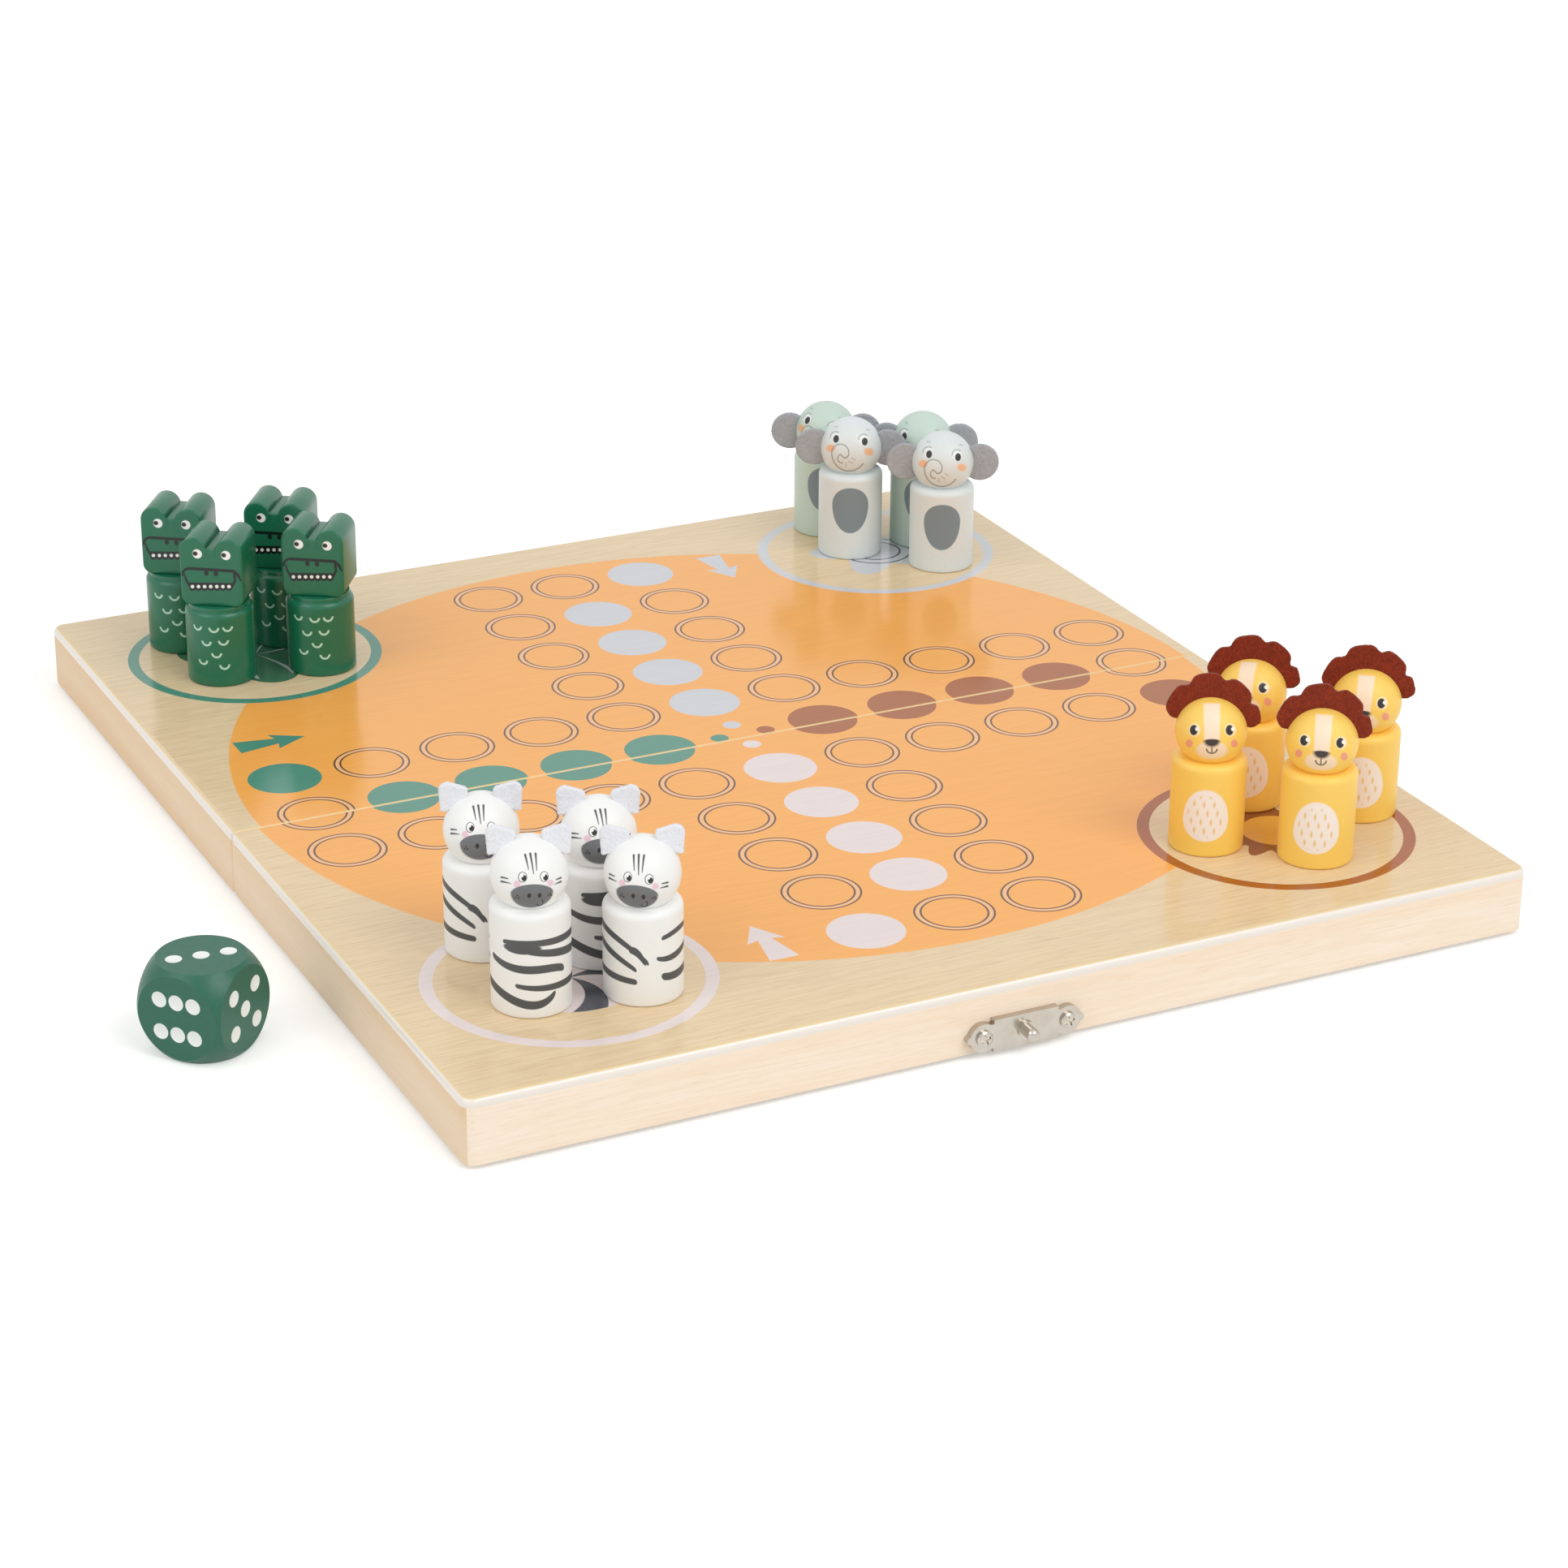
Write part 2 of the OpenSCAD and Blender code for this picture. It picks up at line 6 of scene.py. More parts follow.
import bpy
import numpy as np
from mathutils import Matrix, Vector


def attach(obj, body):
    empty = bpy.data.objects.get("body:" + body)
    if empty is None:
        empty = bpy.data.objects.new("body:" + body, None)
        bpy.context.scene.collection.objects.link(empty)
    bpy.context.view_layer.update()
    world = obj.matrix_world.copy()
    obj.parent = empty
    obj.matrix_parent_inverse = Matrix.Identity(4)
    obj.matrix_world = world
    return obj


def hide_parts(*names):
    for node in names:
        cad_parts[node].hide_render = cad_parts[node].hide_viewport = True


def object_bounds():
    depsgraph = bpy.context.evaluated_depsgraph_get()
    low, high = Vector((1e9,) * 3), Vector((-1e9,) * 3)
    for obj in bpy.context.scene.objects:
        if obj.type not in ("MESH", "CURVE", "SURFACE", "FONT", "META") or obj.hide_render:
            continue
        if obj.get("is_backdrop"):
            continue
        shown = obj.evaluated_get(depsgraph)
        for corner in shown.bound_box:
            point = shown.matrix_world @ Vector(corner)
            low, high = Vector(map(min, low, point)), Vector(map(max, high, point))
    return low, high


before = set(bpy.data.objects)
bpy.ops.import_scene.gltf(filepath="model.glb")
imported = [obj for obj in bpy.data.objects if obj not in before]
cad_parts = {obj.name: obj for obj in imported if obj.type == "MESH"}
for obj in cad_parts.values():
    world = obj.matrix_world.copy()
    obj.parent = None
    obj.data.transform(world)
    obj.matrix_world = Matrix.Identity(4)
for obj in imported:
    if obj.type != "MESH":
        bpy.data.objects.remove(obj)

cad_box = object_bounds()

# Lengths are millimetres here and metres in Blender
MM = 0.001

# ---- The part's own sizes, in millimetres ----

BOARD_H = 16            # height of the playing face
FLOOR_Z = -1.1          # the table, which the hinge barrels touch
PAWN_R = 9
BODY_H = 23.6           # usual height of a round-headed pawn's body
HEAD_R = 8.6
HEAD_UP = 6.1           # head's centre above the body
SHOULDER_R = 1.8
FOOT_R = 0.6
FELT_T, FELT_EDGE, FELT_RIPPLE = 1.3, 0.45, 0.03
EAR_OUT, EAR_R, EAR_LAP = 10.4, 5.3, 0.35
# The centre, the radius and the start and end in degrees of the arc at each corner of a zebra's ear
EAR_CORNERS = [((8.5, 5), 0.6, -80, 15), ((7.3, 9.4), 2.1, -15, 95), ((4, 9.3), 1.2, 95, 190),
               ((4.4, 6), 0.8, 190, 280)]
MANE_R, MANE_NOTCH, MANE_TUCK, MANE_LAP = 14.6, 1.3, 2.7, 0.3
MANE_EDGES = (16, 63, 102, 141, 172)    # ends and notches, in degrees, as seen from behind
NOTCH_POWER = 9                         # the higher it is, the narrower the notches
CROC_BODY_H, NECK_R, NECK_H, NECK_EDGE = 20.6, 8, 0.9, 0.2
SNOUT_W, SNOUT_D, SNOUT_H, SNOUT_FRONT, SNOUT_EDGE = 16.6, 14.3, 18.6, 5.8, 0.5
SNOUT_MIDDLE = 9                        # where the faces of the head block close
BUMP_R, DIP_H, CHIN_R = 3.6, 2.8, 2.5
DIE_S, DIE_TURN = 22, 39
DIE_MIDDLE = (-166.6, -69.7, 9.9)

CAMP_X, CAMP_Y = 93, 106
FACING = {"zebra": -113, "lion": -124, "elephant": -117, "crocodile": -124}
# Where each pawn stands, and how much taller its body is than usual
SPOTS = {
    "zebra": [(-105, -113, 1.7), (-80.4, -118.4, -0.9), (-104.2, -83.3, -0.3), (-82, -98, 0.6)],
    "lion": [(73.9, -104.6, -0.3), (93.9, -121.8, -0.1), (96.4, -86.7, -1), (118.2, -103.9, -1)],
    "elephant": [(87, 110.4, 1.1), (105.5, 90, 0.5), (88.7, 129.5, -0.3), (109.6, 109.7, -0.2)],
    "crocodile": [(-105.3, 96.3, 0), (-79.2, 91.9, 0), (-107.4, 122.5, 0), (-81.4, 115, 0)],
}
# How each face is printed on its head: turned to its right as seen, raised, and rolled anticlockwise
FACE_PRINTS = {
    "zebra": [(7.7, 0, -2.6), (-7, -2, -4.1), (0.7, 9, 0), (8.7, 7.5, -3.5)],
    "lion": [(2.3, 0, 2.5), (0, -1, -0.5), (-12, 6, 5), (-5, -2, 0)],
    "elephant": [(-2.6, 0.7, -3.8), (-0.7, -1, -4.8), (-17, -1, -12), (-13.9, -11, -7.8)],
}
# How far a body's print is turned, in degrees, and raised
BODY_PRINTS = {"zebra_1": (180, 0), "zebra_4": (166, 0.5), "elephant_1": (0, 0.2), "elephant_2": (0, -0.9)}

# ---- Camera ----

CAMERA_AT = (-0.40505, -0.84768, 0.41994)   # metres
CAMERA_TURN = (66.083, -0.398, -26.038)     # degrees
CAMERA_TILT = 24                            # how far it looks down, in degrees
CAMERA_LENS, SENSOR_W = 92.236, 36          # millimetres

camera = bpy.data.objects.new("camera", bpy.data.cameras.new("camera"))
camera.data.lens = CAMERA_LENS
camera.data.sensor_width = SENSOR_W
camera.data.clip_start = 0.05
camera.location = CAMERA_AT
camera.rotation_euler = [radians(a) for a in CAMERA_TURN]
bpy.context.scene.collection.objects.link(camera)
bpy.context.scene.camera = camera

# ---- Shader maths ----


class Field:
    """A socket of a material. Each operator adds one Math node; & is inside both, | inside either."""

    def __init__(self, nodes, socket):
        self.nodes, self.socket = nodes, socket

    def math(self, operation, *inputs, clamp=False):
        settings = {"operation": operation, "use_clamp": clamp}
        return self.nodes.add("ShaderNodeMath", settings, dict(enumerate(inputs)))

    def __add__(self, other):
        return self.math("ADD", self, other)

    def __sub__(self, other):
        return self.math("SUBTRACT", self, other)

    def __rsub__(self, other):
        return self.math("SUBTRACT", other, self)

    def __mul__(self, other):
        return self.math("MULTIPLY", self, other)

    def __truediv__(self, other):
        return self.math("DIVIDE", self, other)

    def __and__(self, other):
        return self.math("MINIMUM", self, other)

    def __or__(self, other):
        return self.math("MAXIMUM", self, other)

    def __gt__(self, other):
        return self.math("GREATER_THAN", self, other)

    def __neg__(self):
        return self.math("MULTIPLY", self, -1)

    def __abs__(self):
        return self.math("ABSOLUTE", self)

    def __round__(self):
        return self.math("ROUND", self)

    __radd__ = __add__
    __rmul__ = __mul__

    def sine(self):
        return self.math("SINE", self)

    def sign(self):
        return self.math("SIGN", self)

    def fraction(self):
        return self.math("FRACT", self)

    def angle_over(self, across):
        return self.math("ARCTAN2", self, across)

    def choose(self, true_value, false_value):
        """One number where this mask is 1 and the other where it is 0."""
        return false_value + (true_value - false_value) * self

    def cover(self, soft=0.14):
        """Turns millimetres inside an outline into a mask from 0 to 1, soft over that many millimetres."""
        return self.math("MULTIPLY_ADD", self, 1 / soft, 0.5, clamp=True)


class Nodes:
    """A node tree under construction."""

    def __init__(self, tree):
        self.tree = tree
        tree.nodes.clear()

    def add(self, kind, settings=None, inputs=None, output=0):
        """Adds a node: its settings first, then its sockets. Gives one of its outputs, if it has any."""
        made = self.tree.nodes.new(kind)
        for name, value in (settings or {}).items():
            setattr(made, name, value)
        for name, value in (inputs or {}).items():
            if isinstance(value, Field):
                self.tree.links.new(value.socket, made.inputs[name])
            else:
                made.inputs[name].default_value = value
        return Field(self, made.outputs[output]) if made.outputs else None

    def vector(self, operation, *inputs, output=0):
        return self.add("ShaderNodeVectorMath", {"operation": operation}, dict(enumerate(inputs)), output)

    def length(self, vector):
        return self.vector("LENGTH", vector, output=1)

    def point(self, x, y):
        return self.add("ShaderNodeCombineXYZ", {}, {0: x, 1: y})

    def distance(self, x, y):
        """How far a point of a plane lies from the plane's origin."""
        return self.length(self.point(x, y))

    def parts(self, vector):
        split = self.add("ShaderNodeSeparateXYZ", {}, {0: vector})
        return [Field(self, split.socket.node.outputs[i]) for i in range(3)]

    def noise(self, vector, scale, detail=2.0, roughness=0.5, stretch=(1, 1, 1)):
        """Noise from 0 to 1 over a vector, scaled by one number and stretched by three."""
        grown = self.vector("MULTIPLY", vector, [scale * s for s in stretch])
        sockets = {"Vector": grown, "Scale": 1.0, "Detail": detail, "Roughness": roughness}
        return self.add("ShaderNodeTexNoise", {}, sockets)

    def mix(self, mask, first, second):
        """The first colour where the mask is 0, the second where it is 1."""
        return self.add("ShaderNodeMix", {"data_type": "RGBA"}, {0: mask, 6: first, 7: second}, 2)

    def paint(self, ground, *coats):
        """Lays (mask, colour) coats over a ground colour, one after another."""
        for mask, coat in coats:
            ground = self.mix(mask, ground, coat)
        return ground

    def shade(self, colour, amount):
        """Multiplies a colour by a number."""
        return self.add("ShaderNodeVectorMath", {"operation": "SCALE"}, {0: colour, "Scale": amount})

    def seen(self):
        """1 for the camera and for what a mirror or a clear thing shows, and 0 for all other light."""
        kinds = ("Camera", "Glossy", "Transmission")
        return either([self.add("ShaderNodeLightPath", output=f"Is {kind} Ray") for kind in kinds])


class Finish(Nodes):
    """A material: one Principled surface whose colour, roughness and bump come from fields."""

    def __init__(self, name):
        self.material = bpy.data.materials.new(name)
        self.material.use_nodes = True
        super().__init__(self.material.node_tree)

    def place(self):
        """The point of the surface in metres, in the shared frame."""
        return self.add("ShaderNodeTexCoord", {}, {}, 3)

    def attribute(self, name):
        return self.add("ShaderNodeAttribute", {"attribute_name": name}, {}, 1)

    def surface(self, colour, roughness, height=None, relief=0.1, **constants):
        """Ends the material. height is a field whose range of 1 stands relief millimetres proud."""
        inputs = {"Base Color": colour, "Roughness": roughness, **constants}
        if height is not None:
            bump = {"Strength": 1.0, "Distance": relief * MM, "Height": height}
            inputs["Normal"] = self.add("ShaderNodeBump", {}, bump)
        shader = self.add("ShaderNodeBsdfPrincipled", {}, inputs)
        self.add("ShaderNodeOutputMaterial", {}, {"Surface": shader})
        return self.material


def either(figures):
    """The area of several figures or masks together."""
    return reduce(or_, figures)


def colour(red, green, blue):
    """A colour as seen on a screen, from 0 to 255 a channel, as the linear colour that a shader takes."""
    def linear(value):
        value /= 255
        return value / 12.92 if value <= 0.04045 else ((value + 0.055) / 1.055) ** 2.4
    return (linear(red), linear(green), linear(blue), 1.0)


class Drawing:
    """Figures drawn on a pattern plane. Each is a field of millimetres inside its outline."""

    def __init__(self, nodes, across, up):
        self.nodes = nodes
        self.point = nodes.point(across, up)

    def _from(self, centre):
        return self.nodes.vector("SUBTRACT", self.point, (centre[0], centre[1], 0))

    def spot(self, centre, radii):
        """An ellipse: one less the length of the offset over its two radii, times the smaller radius."""
        wide, high = radii if isinstance(radii, tuple) else (radii, radii)
        offset = self.nodes.vector("MULTIPLY", self._from(centre), (1 / wide, 1 / high, 0))
        return (1 - self.nodes.length(offset)) * min(wide, high)

    def spots(self, *each):
        """Several ellipses as one figure."""
        return either([self.spot(*one) for one in each])

    def egg(self, centre, wide, above, below):
        """An ellipse whose half height differs above and below its centre."""
        x, y, _ = self.nodes.parts(self._from(centre))
        return (1 - self.nodes.distance(x / wide, y / above | y / -below)) * min(wide, above, below)

    def arc(self, centre, radius, start, end, width):
        """Part of a ring between two angles in degrees, anticlockwise from the across direction."""
        middle, half = radians((start + end) / 2), radians(abs(end - start) / 2)
        offset = self._from(centre)
        out = self.nodes.length(offset)
        ahead = self.nodes.vector("DOT_PRODUCT", offset, (cos(middle), sin(middle), 0), output=1)
        return (width / 2 - abs(out - radius)) & (ahead - out * cos(half))

    def arcs(self, *each):
        """Several arcs as one figure."""
        return either([self.arc(*one) for one in each])

    def stroke(self, start, end, width, tip=None):
        """A straight stroke with round ends, width at its start and tip at its end."""
        run = (end[0] - start[0], end[1] - start[1])
        length = hypot(*run)
        along_way = (run[0] / length, run[1] / length, 0)
        across_way = (-run[1] / length, run[0] / length, 0)
        offset = self._from(start)
        along = self.nodes.vector("DOT_PRODUCT", offset, along_way, output=1)
        across = self.nodes.vector("DOT_PRODUCT", offset, across_way, output=1)
        beyond = (abs(along - length / 2) - length / 2) | 0.0
        away = self.nodes.distance(across, beyond)
        if tip is None:
            return width / 2 - away
        return width / 2 + along * ((tip - width) / 2 / length) - away

    def strokes(self, *each):
        """Several strokes as one figure."""
        return either([self.stroke(*one) for one in each])


# ---- Meshes ----


def closed_skin(rings):
    """Points and faces of a skin through rows of points. Each row is closed on itself, and the first and the
    last row have shrunk to one point each. Faces point outwards, by the sign of the volume they enclose."""
    rows, columns = rings.shape[:2]
    points = np.concatenate([rings[:1, 0], rings[1:-1].reshape(-1, 3), rings[-1:, 0]])
    here = 1 + np.arange((rows - 2) * columns).reshape(rows - 2, columns)
    beside = np.roll(here, -1, axis=1)
    quads = np.stack([here[:-1], beside[:-1], beside[1:], here[1:]], axis=-1).reshape(-1, 4)
    first = np.stack([np.zeros(columns, int), beside[0], here[0]], axis=-1)
    last = np.stack([np.full(columns, len(points) - 1), here[-1], beside[-1]], axis=-1)
    a, b, c = points[quads[:, 0]], points[quads[:, 1]], points[quads[:, 2]]
    if np.einsum("ij,ij->", a, np.cross(b, c)) < 0:
        quads, first, last = quads[:, ::-1], first[:, ::-1], last[:, ::-1]
    return points, quads.tolist() + first.tolist() + last.tolist()


def joined(*skins):
    """Several skins as one list of points and one of faces."""
    points, faces = [], []
    for skin_points, skin_faces in skins:
        start = sum(len(p) for p in points)
        points.append(skin_points)
        faces += [[start + i for i in face] for face in skin_faces]
    return np.concatenate(points), faces


def turned(points, degrees):
    """Points turned about the upright through the origin."""
    c, s = cos(radians(degrees)), sin(radians(degrees))
    return points @ np.array([[c, s, 0], [-s, c, 0], [0, 0, 1]])


def print_points(points, head_z, aside, lift, roll):
    """Places on a head as its face print sees them: in front of the middle of the head, across and up.
    The points are turned back by the print's turn about the upright, tilted as the camera looks plus the
    print's lift, and rolled back about the front."""
    x, y, z = turned(points - (0, 0, head_z), -aside).T
    tilt, spin = radians(CAMERA_TILT + lift), radians(roll)
    front, up = x * cos(tilt) + z * sin(tilt), z * cos(tilt) - x * sin(tilt)
    return np.stack([front, y * cos(spin) + up * sin(spin), up * cos(spin) - y * sin(spin)], axis=1)


def pawn_piece(name, skin, pawn, material, slot, sharp=40):
    """Makes a piece of a pawn from a skin drawn at the origin facing +X, and puts it where the pawn stands.
    Its attributes "body_print" and "head_print" hold the drawn place of each point as each print sees it."""
    animal, number = pawn.rsplit("_", 1)
    points, faces = skin
    x, y, taller = SPOTS[animal][int(number) - 1]
    placed = (turned(points, FACING[animal]) + (x, y, BOARD_H)) * MM
    mesh = bpy.data.meshes.new(name)
    mesh.from_pydata(placed.tolist(), [], faces)
    mesh.polygons.foreach_set("use_smooth", np.ones(len(mesh.polygons), bool))
    mesh.set_sharp_from_angle(angle=radians(sharp))
    if animal in FACE_PRINTS:
        face = print_points(points, BODY_H + taller + HEAD_UP, *FACE_PRINTS[animal][int(number) - 1])
    else:
        face = points - (0, 0, CROC_BODY_H + NECK_H)
    turn, raised = BODY_PRINTS.get(pawn, (0, 0))
    for print_name, places in (("body_print", turned(points, turn) - (0, 0, raised)), ("head_print", face)):
        layer = mesh.attributes.new(print_name, "FLOAT_VECTOR", "POINT")
        layer.data.foreach_set("vector", places.astype(np.float32).ravel())
    mesh.materials.append(material)
    piece = bpy.data.objects.new(name, mesh)
    bpy.context.scene.collection.objects.link(piece)
    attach(piece, pawn + "_pawn")
    return piece


def arc_points(centre, radius, start, end, steps):
    """Points of a circle's arc, between two angles in degrees."""
    angle = np.radians(np.linspace(start, end, steps))
    return np.stack([centre[0] + radius * np.cos(angle), centre[1] + radius * np.sin(angle)], axis=1)


def even(points, count):
    """A closed outline through the points, walked again in equal steps."""
    closed = np.concatenate([points, points[:1]])
    walked = np.concatenate([[0], np.cumsum(np.hypot(*np.diff(closed, axis=0).T))])
    steps = np.linspace(0, walked[-1], count, endpoint=False)
    return np.stack([np.interp(steps, walked, closed[:, i]) for i in (0, 1)], axis=1)


def lathe(profile, columns=96):
    """Turns a profile of (radius, height) points about the upright: x and y are the radius times the cosine
    and the sine of the angle, and z is the height."""
    angle = np.linspace(0, 2 * pi, columns, endpoint=False)
    radius, height = profile[:, :1], profile[:, 1:]
    rings = np.stack([radius * np.cos(angle), radius * np.sin(angle), height + 0 * angle], axis=-1)
    return closed_skin(rings)


def plate(outline, centre, thickness, edge, steps=5):
    """A flat plate that stands across the X axis. The outline in (y, z) is moved inwards along its own normal
    by the edge's rounding, and from there it shrinks towards the centre to close each face."""
    ahead, behind = np.roll(outline, -1, axis=0), np.roll(outline, 1, axis=0)
    run = ahead - behind
    inward = np.stack([-run[:, 1], run[:, 0]], axis=1) / np.hypot(*run.T)[:, None]
    if np.sum(outline[:, 0] * run[:, 1] - outline[:, 1] * run[:, 0]) < 0:
        inward = -inward
    half = thickness / 2
    angle = np.linspace(0, pi / 2, steps)
    bend = [(edge * (1 - sin(a)), half - edge * (1 - cos(a))) for a in angle]
    inner = outline + inward * edge
    rows = [(half, centre + (inner - centre) * f) for f in (0, 0.35, 0.7, 0.9)]
    rows += [(x, outline + inward * inset) for inset, x in bend]
    rows += [(-x, points) for x, points in reversed(rows)]
    return closed_skin(np.stack([np.column_stack([np.full(len(outline), x), points]) for x, points in rows]))


def body_profile(body_h, shoulder_end, steps):
    """Foot, side and shoulder of a turned body. The shoulder's arc ends at an angle in degrees."""
    return np.concatenate([
        [(0, 0), (PAWN_R * 0.5, 0)],
        arc_points((PAWN_R - FOOT_R, FOOT_R), FOOT_R, -90, 0, 6),
        np.stack([np.full(8, PAWN_R), np.linspace(2, body_h - SHOULDER_R - 1, 8)], axis=1),
        arc_points((PAWN_R - SHOULDER_R, body_h - SHOULDER_R), SHOULDER_R, 0, shoulder_end, steps)])


def round_pawn_profile(body_h):
    """A body and its ball head."""
    neck = -np.degrees(np.arcsin(HEAD_UP / HEAD_R))
    head = arc_points((0, body_h + HEAD_UP), HEAD_R, neck, 90, 56)
    return np.concatenate([body_profile(body_h, 90, 10), head])


def crocodile_body_profile():
    """A body and its short neck, which starts where the shoulder has drawn in to it."""
    lap = np.degrees(np.arccos((NECK_R - PAWN_R + SHOULDER_R) / SHOULDER_R))
    top = CROC_BODY_H + NECK_H
    neck = arc_points((NECK_R - NECK_EDGE, top - NECK_EDGE), NECK_EDGE, 0, 90, 4)
    return np.concatenate([body_profile(CROC_BODY_H, lap, 8), neck, [(NECK_R * 0.5, top), (0, top)]])


def snout_outline():
    """Head block seen from the front: round chin corners, two round bumps and a flat dip between them."""
    side, bump_y, bump_z = SNOUT_W / 2, SNOUT_W / 2 - BUMP_R, SNOUT_H - BUMP_R
    floor = np.degrees(np.arcsin((SNOUT_H - DIP_H - bump_z) / BUMP_R))
    right = np.concatenate([
        arc_points((side - CHIN_R, CHIN_R), CHIN_R, -90, 0, 12),
        arc_points((bump_y, bump_z), BUMP_R, 0, 180 - floor, 30)])
    return even(np.concatenate([right, right[::-1] * (-1, 1)]), 220)


def zebra_ear_outline():
    """A petal through its corners' arcs: round above, pointed below and at the head."""
    return even(np.concatenate([arc_points(*corner, 14) for corner in EAR_CORNERS]), 110)


def elephant_ear_outline():
    """A disc whose inner side follows the head."""
    disc = arc_points((EAR_OUT, 0), EAR_R, -180, 180, 181)[:-1]
    out = np.hypot(*disc.T)[:, None]
    return even(disc * np.maximum(out, HEAD_R - EAR_LAP) / out, 120)


def felt(skin, seed, raised):
    """Lifts felt to its head and roughens it: each point moves by a sum of three sines of its place, at most
    three ripples' height along each axis."""
    points, faces = skin
    y, z = points[:, 1], points[:, 2]
    waves = ((5.1, 3.7, 1), (-4.3, 6.1, 2), (7.7, -2.9, 3))
    ripple = sum(np.sin(y * a + z * b + seed * c) for a, b, c in waves) * FELT_RIPPLE
    out = np.stack([np.sign(points[:, 0]) * 0.6, np.sin(z * 9 + seed), np.cos(y * 9 + seed)], axis=1)
    return points + out * ripple[:, None] + (0, 0, raised), faces


def two_ears(outline, seed, raised):
    """A pair of ears, one the mirror image of the other."""
    middle = outline.mean(axis=0)
    first = plate(outline, middle, FELT_T, FELT_EDGE)
    second = plate(outline[::-1] * (-1, 1), middle * (-1, 1), FELT_T, FELT_EDGE)
    return joined(felt(first, seed, raised), felt(second, seed + 1, raised))


def zebra_ears(seed, raised):
    return two_ears(zebra_ear_outline(), seed, raised)


def elephant_ears(seed, raised):
    return two_ears(elephant_ear_outline(), seed, raised)


def rounded(wave, power):
    """A sine or cosine with its size raised to a power under one, which squares off an ellipse."""
    return np.sign(wave) * np.abs(wave) ** power


def mane(seed, raised):
    """A rounded felt section carried along an arc over the head. Its outer radius follows the lobes: it drops
    at each edge of a lobe by a high power of the cosine of the way along the lobe, and draws in towards the
    sides by the squared cosine of the angle. The section keeps its size but for its blunt ends."""
    rows, columns = 260, 28
    way = np.sin(np.linspace(-pi / 2, pi / 2, rows))[:, None]
    lobes = len(MANE_EDGES) - 1
    lobe = (way + 1) / 2 * lobes
    angle = np.radians(np.interp(lobe, np.arange(lobes + 1), 180 - np.array(MANE_EDGES)))
    outer = MANE_R - MANE_NOTCH * np.abs(np.cos(pi * lobe)) ** NOTCH_POWER - MANE_TUCK * np.cos(angle) ** 2
    inner = HEAD_R - MANE_LAP
    end = np.sqrt(np.maximum(1 - np.abs(way) ** 40, 0))
    turn = np.linspace(0, 2 * pi, columns, endpoint=False)
    out = (outer + inner) / 2 + (outer - inner) / 2 * end * rounded(np.cos(turn), 0.4)
    thick = FELT_T / 2 * end * rounded(np.sin(turn), 0.5)
    rings = np.stack([thick, out * np.cos(angle), out * np.sin(angle)], axis=-1)
    return felt(closed_skin(rings), seed, raised)


# ---- Wood and metal finishes ----


def along_grain(along, share):
    """Stretches noise along X or Y, to this share of its changes that way."""
    return (share, 1, 1) if along == "x" else (1, share, 1)


def grain(finish, place, along, scale=1.0):
    """Growth lines and fine pores of wood, both from 0 to 1: noise stretched along the grain. A sine cuts the
    slow noise into the lines."""
    stretch = along_grain(along, 0.06)
    flames = finish.noise(place, 160 * scale, 3.0, 0.55, stretch)
    lines = (flames * 60.0).sine() * 0.5 + 0.5
    return lines, finish.noise(place, 2600 * scale, 2.0, 0.6, stretch)


ORANGE = colour(253, 177, 84)
PRINT_GREEN, PRINT_BROWN = colour(80, 146, 126), colour(172, 94, 34)
PRINT_BLUE, PRINT_WHITE = colour(209, 211, 216), colour(236, 222, 220)
PRINT_LINE = colour(104, 68, 46)
BARK, LEAF = colour(150, 88, 50), colour(70, 120, 90)
GOLD, SLATE = colour(246, 186, 84), colour(84, 86, 94)

# Sizes of the print, in millimetres
PRINT_SHIFT = ((0.9, 1.9), (1.6, 2.3))      # of the front and the back half's print
DISC_R, CAMP_R = 130, 33.6
CAMP_RING_W = (3.1, 2.9, 3.0, 2.9)          # zebra, crocodile, lion, elephant
PITCH, SOLID_R = 23, 9.2                    # of the fields
BAND_R, BAND_W = 8.6, 1.5                   # the pale band of an open field
LINE_OUT, LINE_W = 0.74, 0.5                # the band's two dark lines, out and in from its middle
DOT_OUT, DOT_R = 6.5, 2.35                  # the four dots about the centre
ARROW_OUT, ARROW_ASIDE = 110.4, 46          # where an arrow's head starts, from the centre
ARROW_TAIL, ARROW_TIP, ARROW_LAP = 9.2, 8.97, 3
SHAFT_HALF, SHAFT_TAPER, HEAD_SPREAD = 1.96, 0.187, 0.558
BARB_START, BARB_SLANT = 1.9, 0.3
FIRM = 40               # makes a choice of plus or minus a half outweigh any figure's millimetres


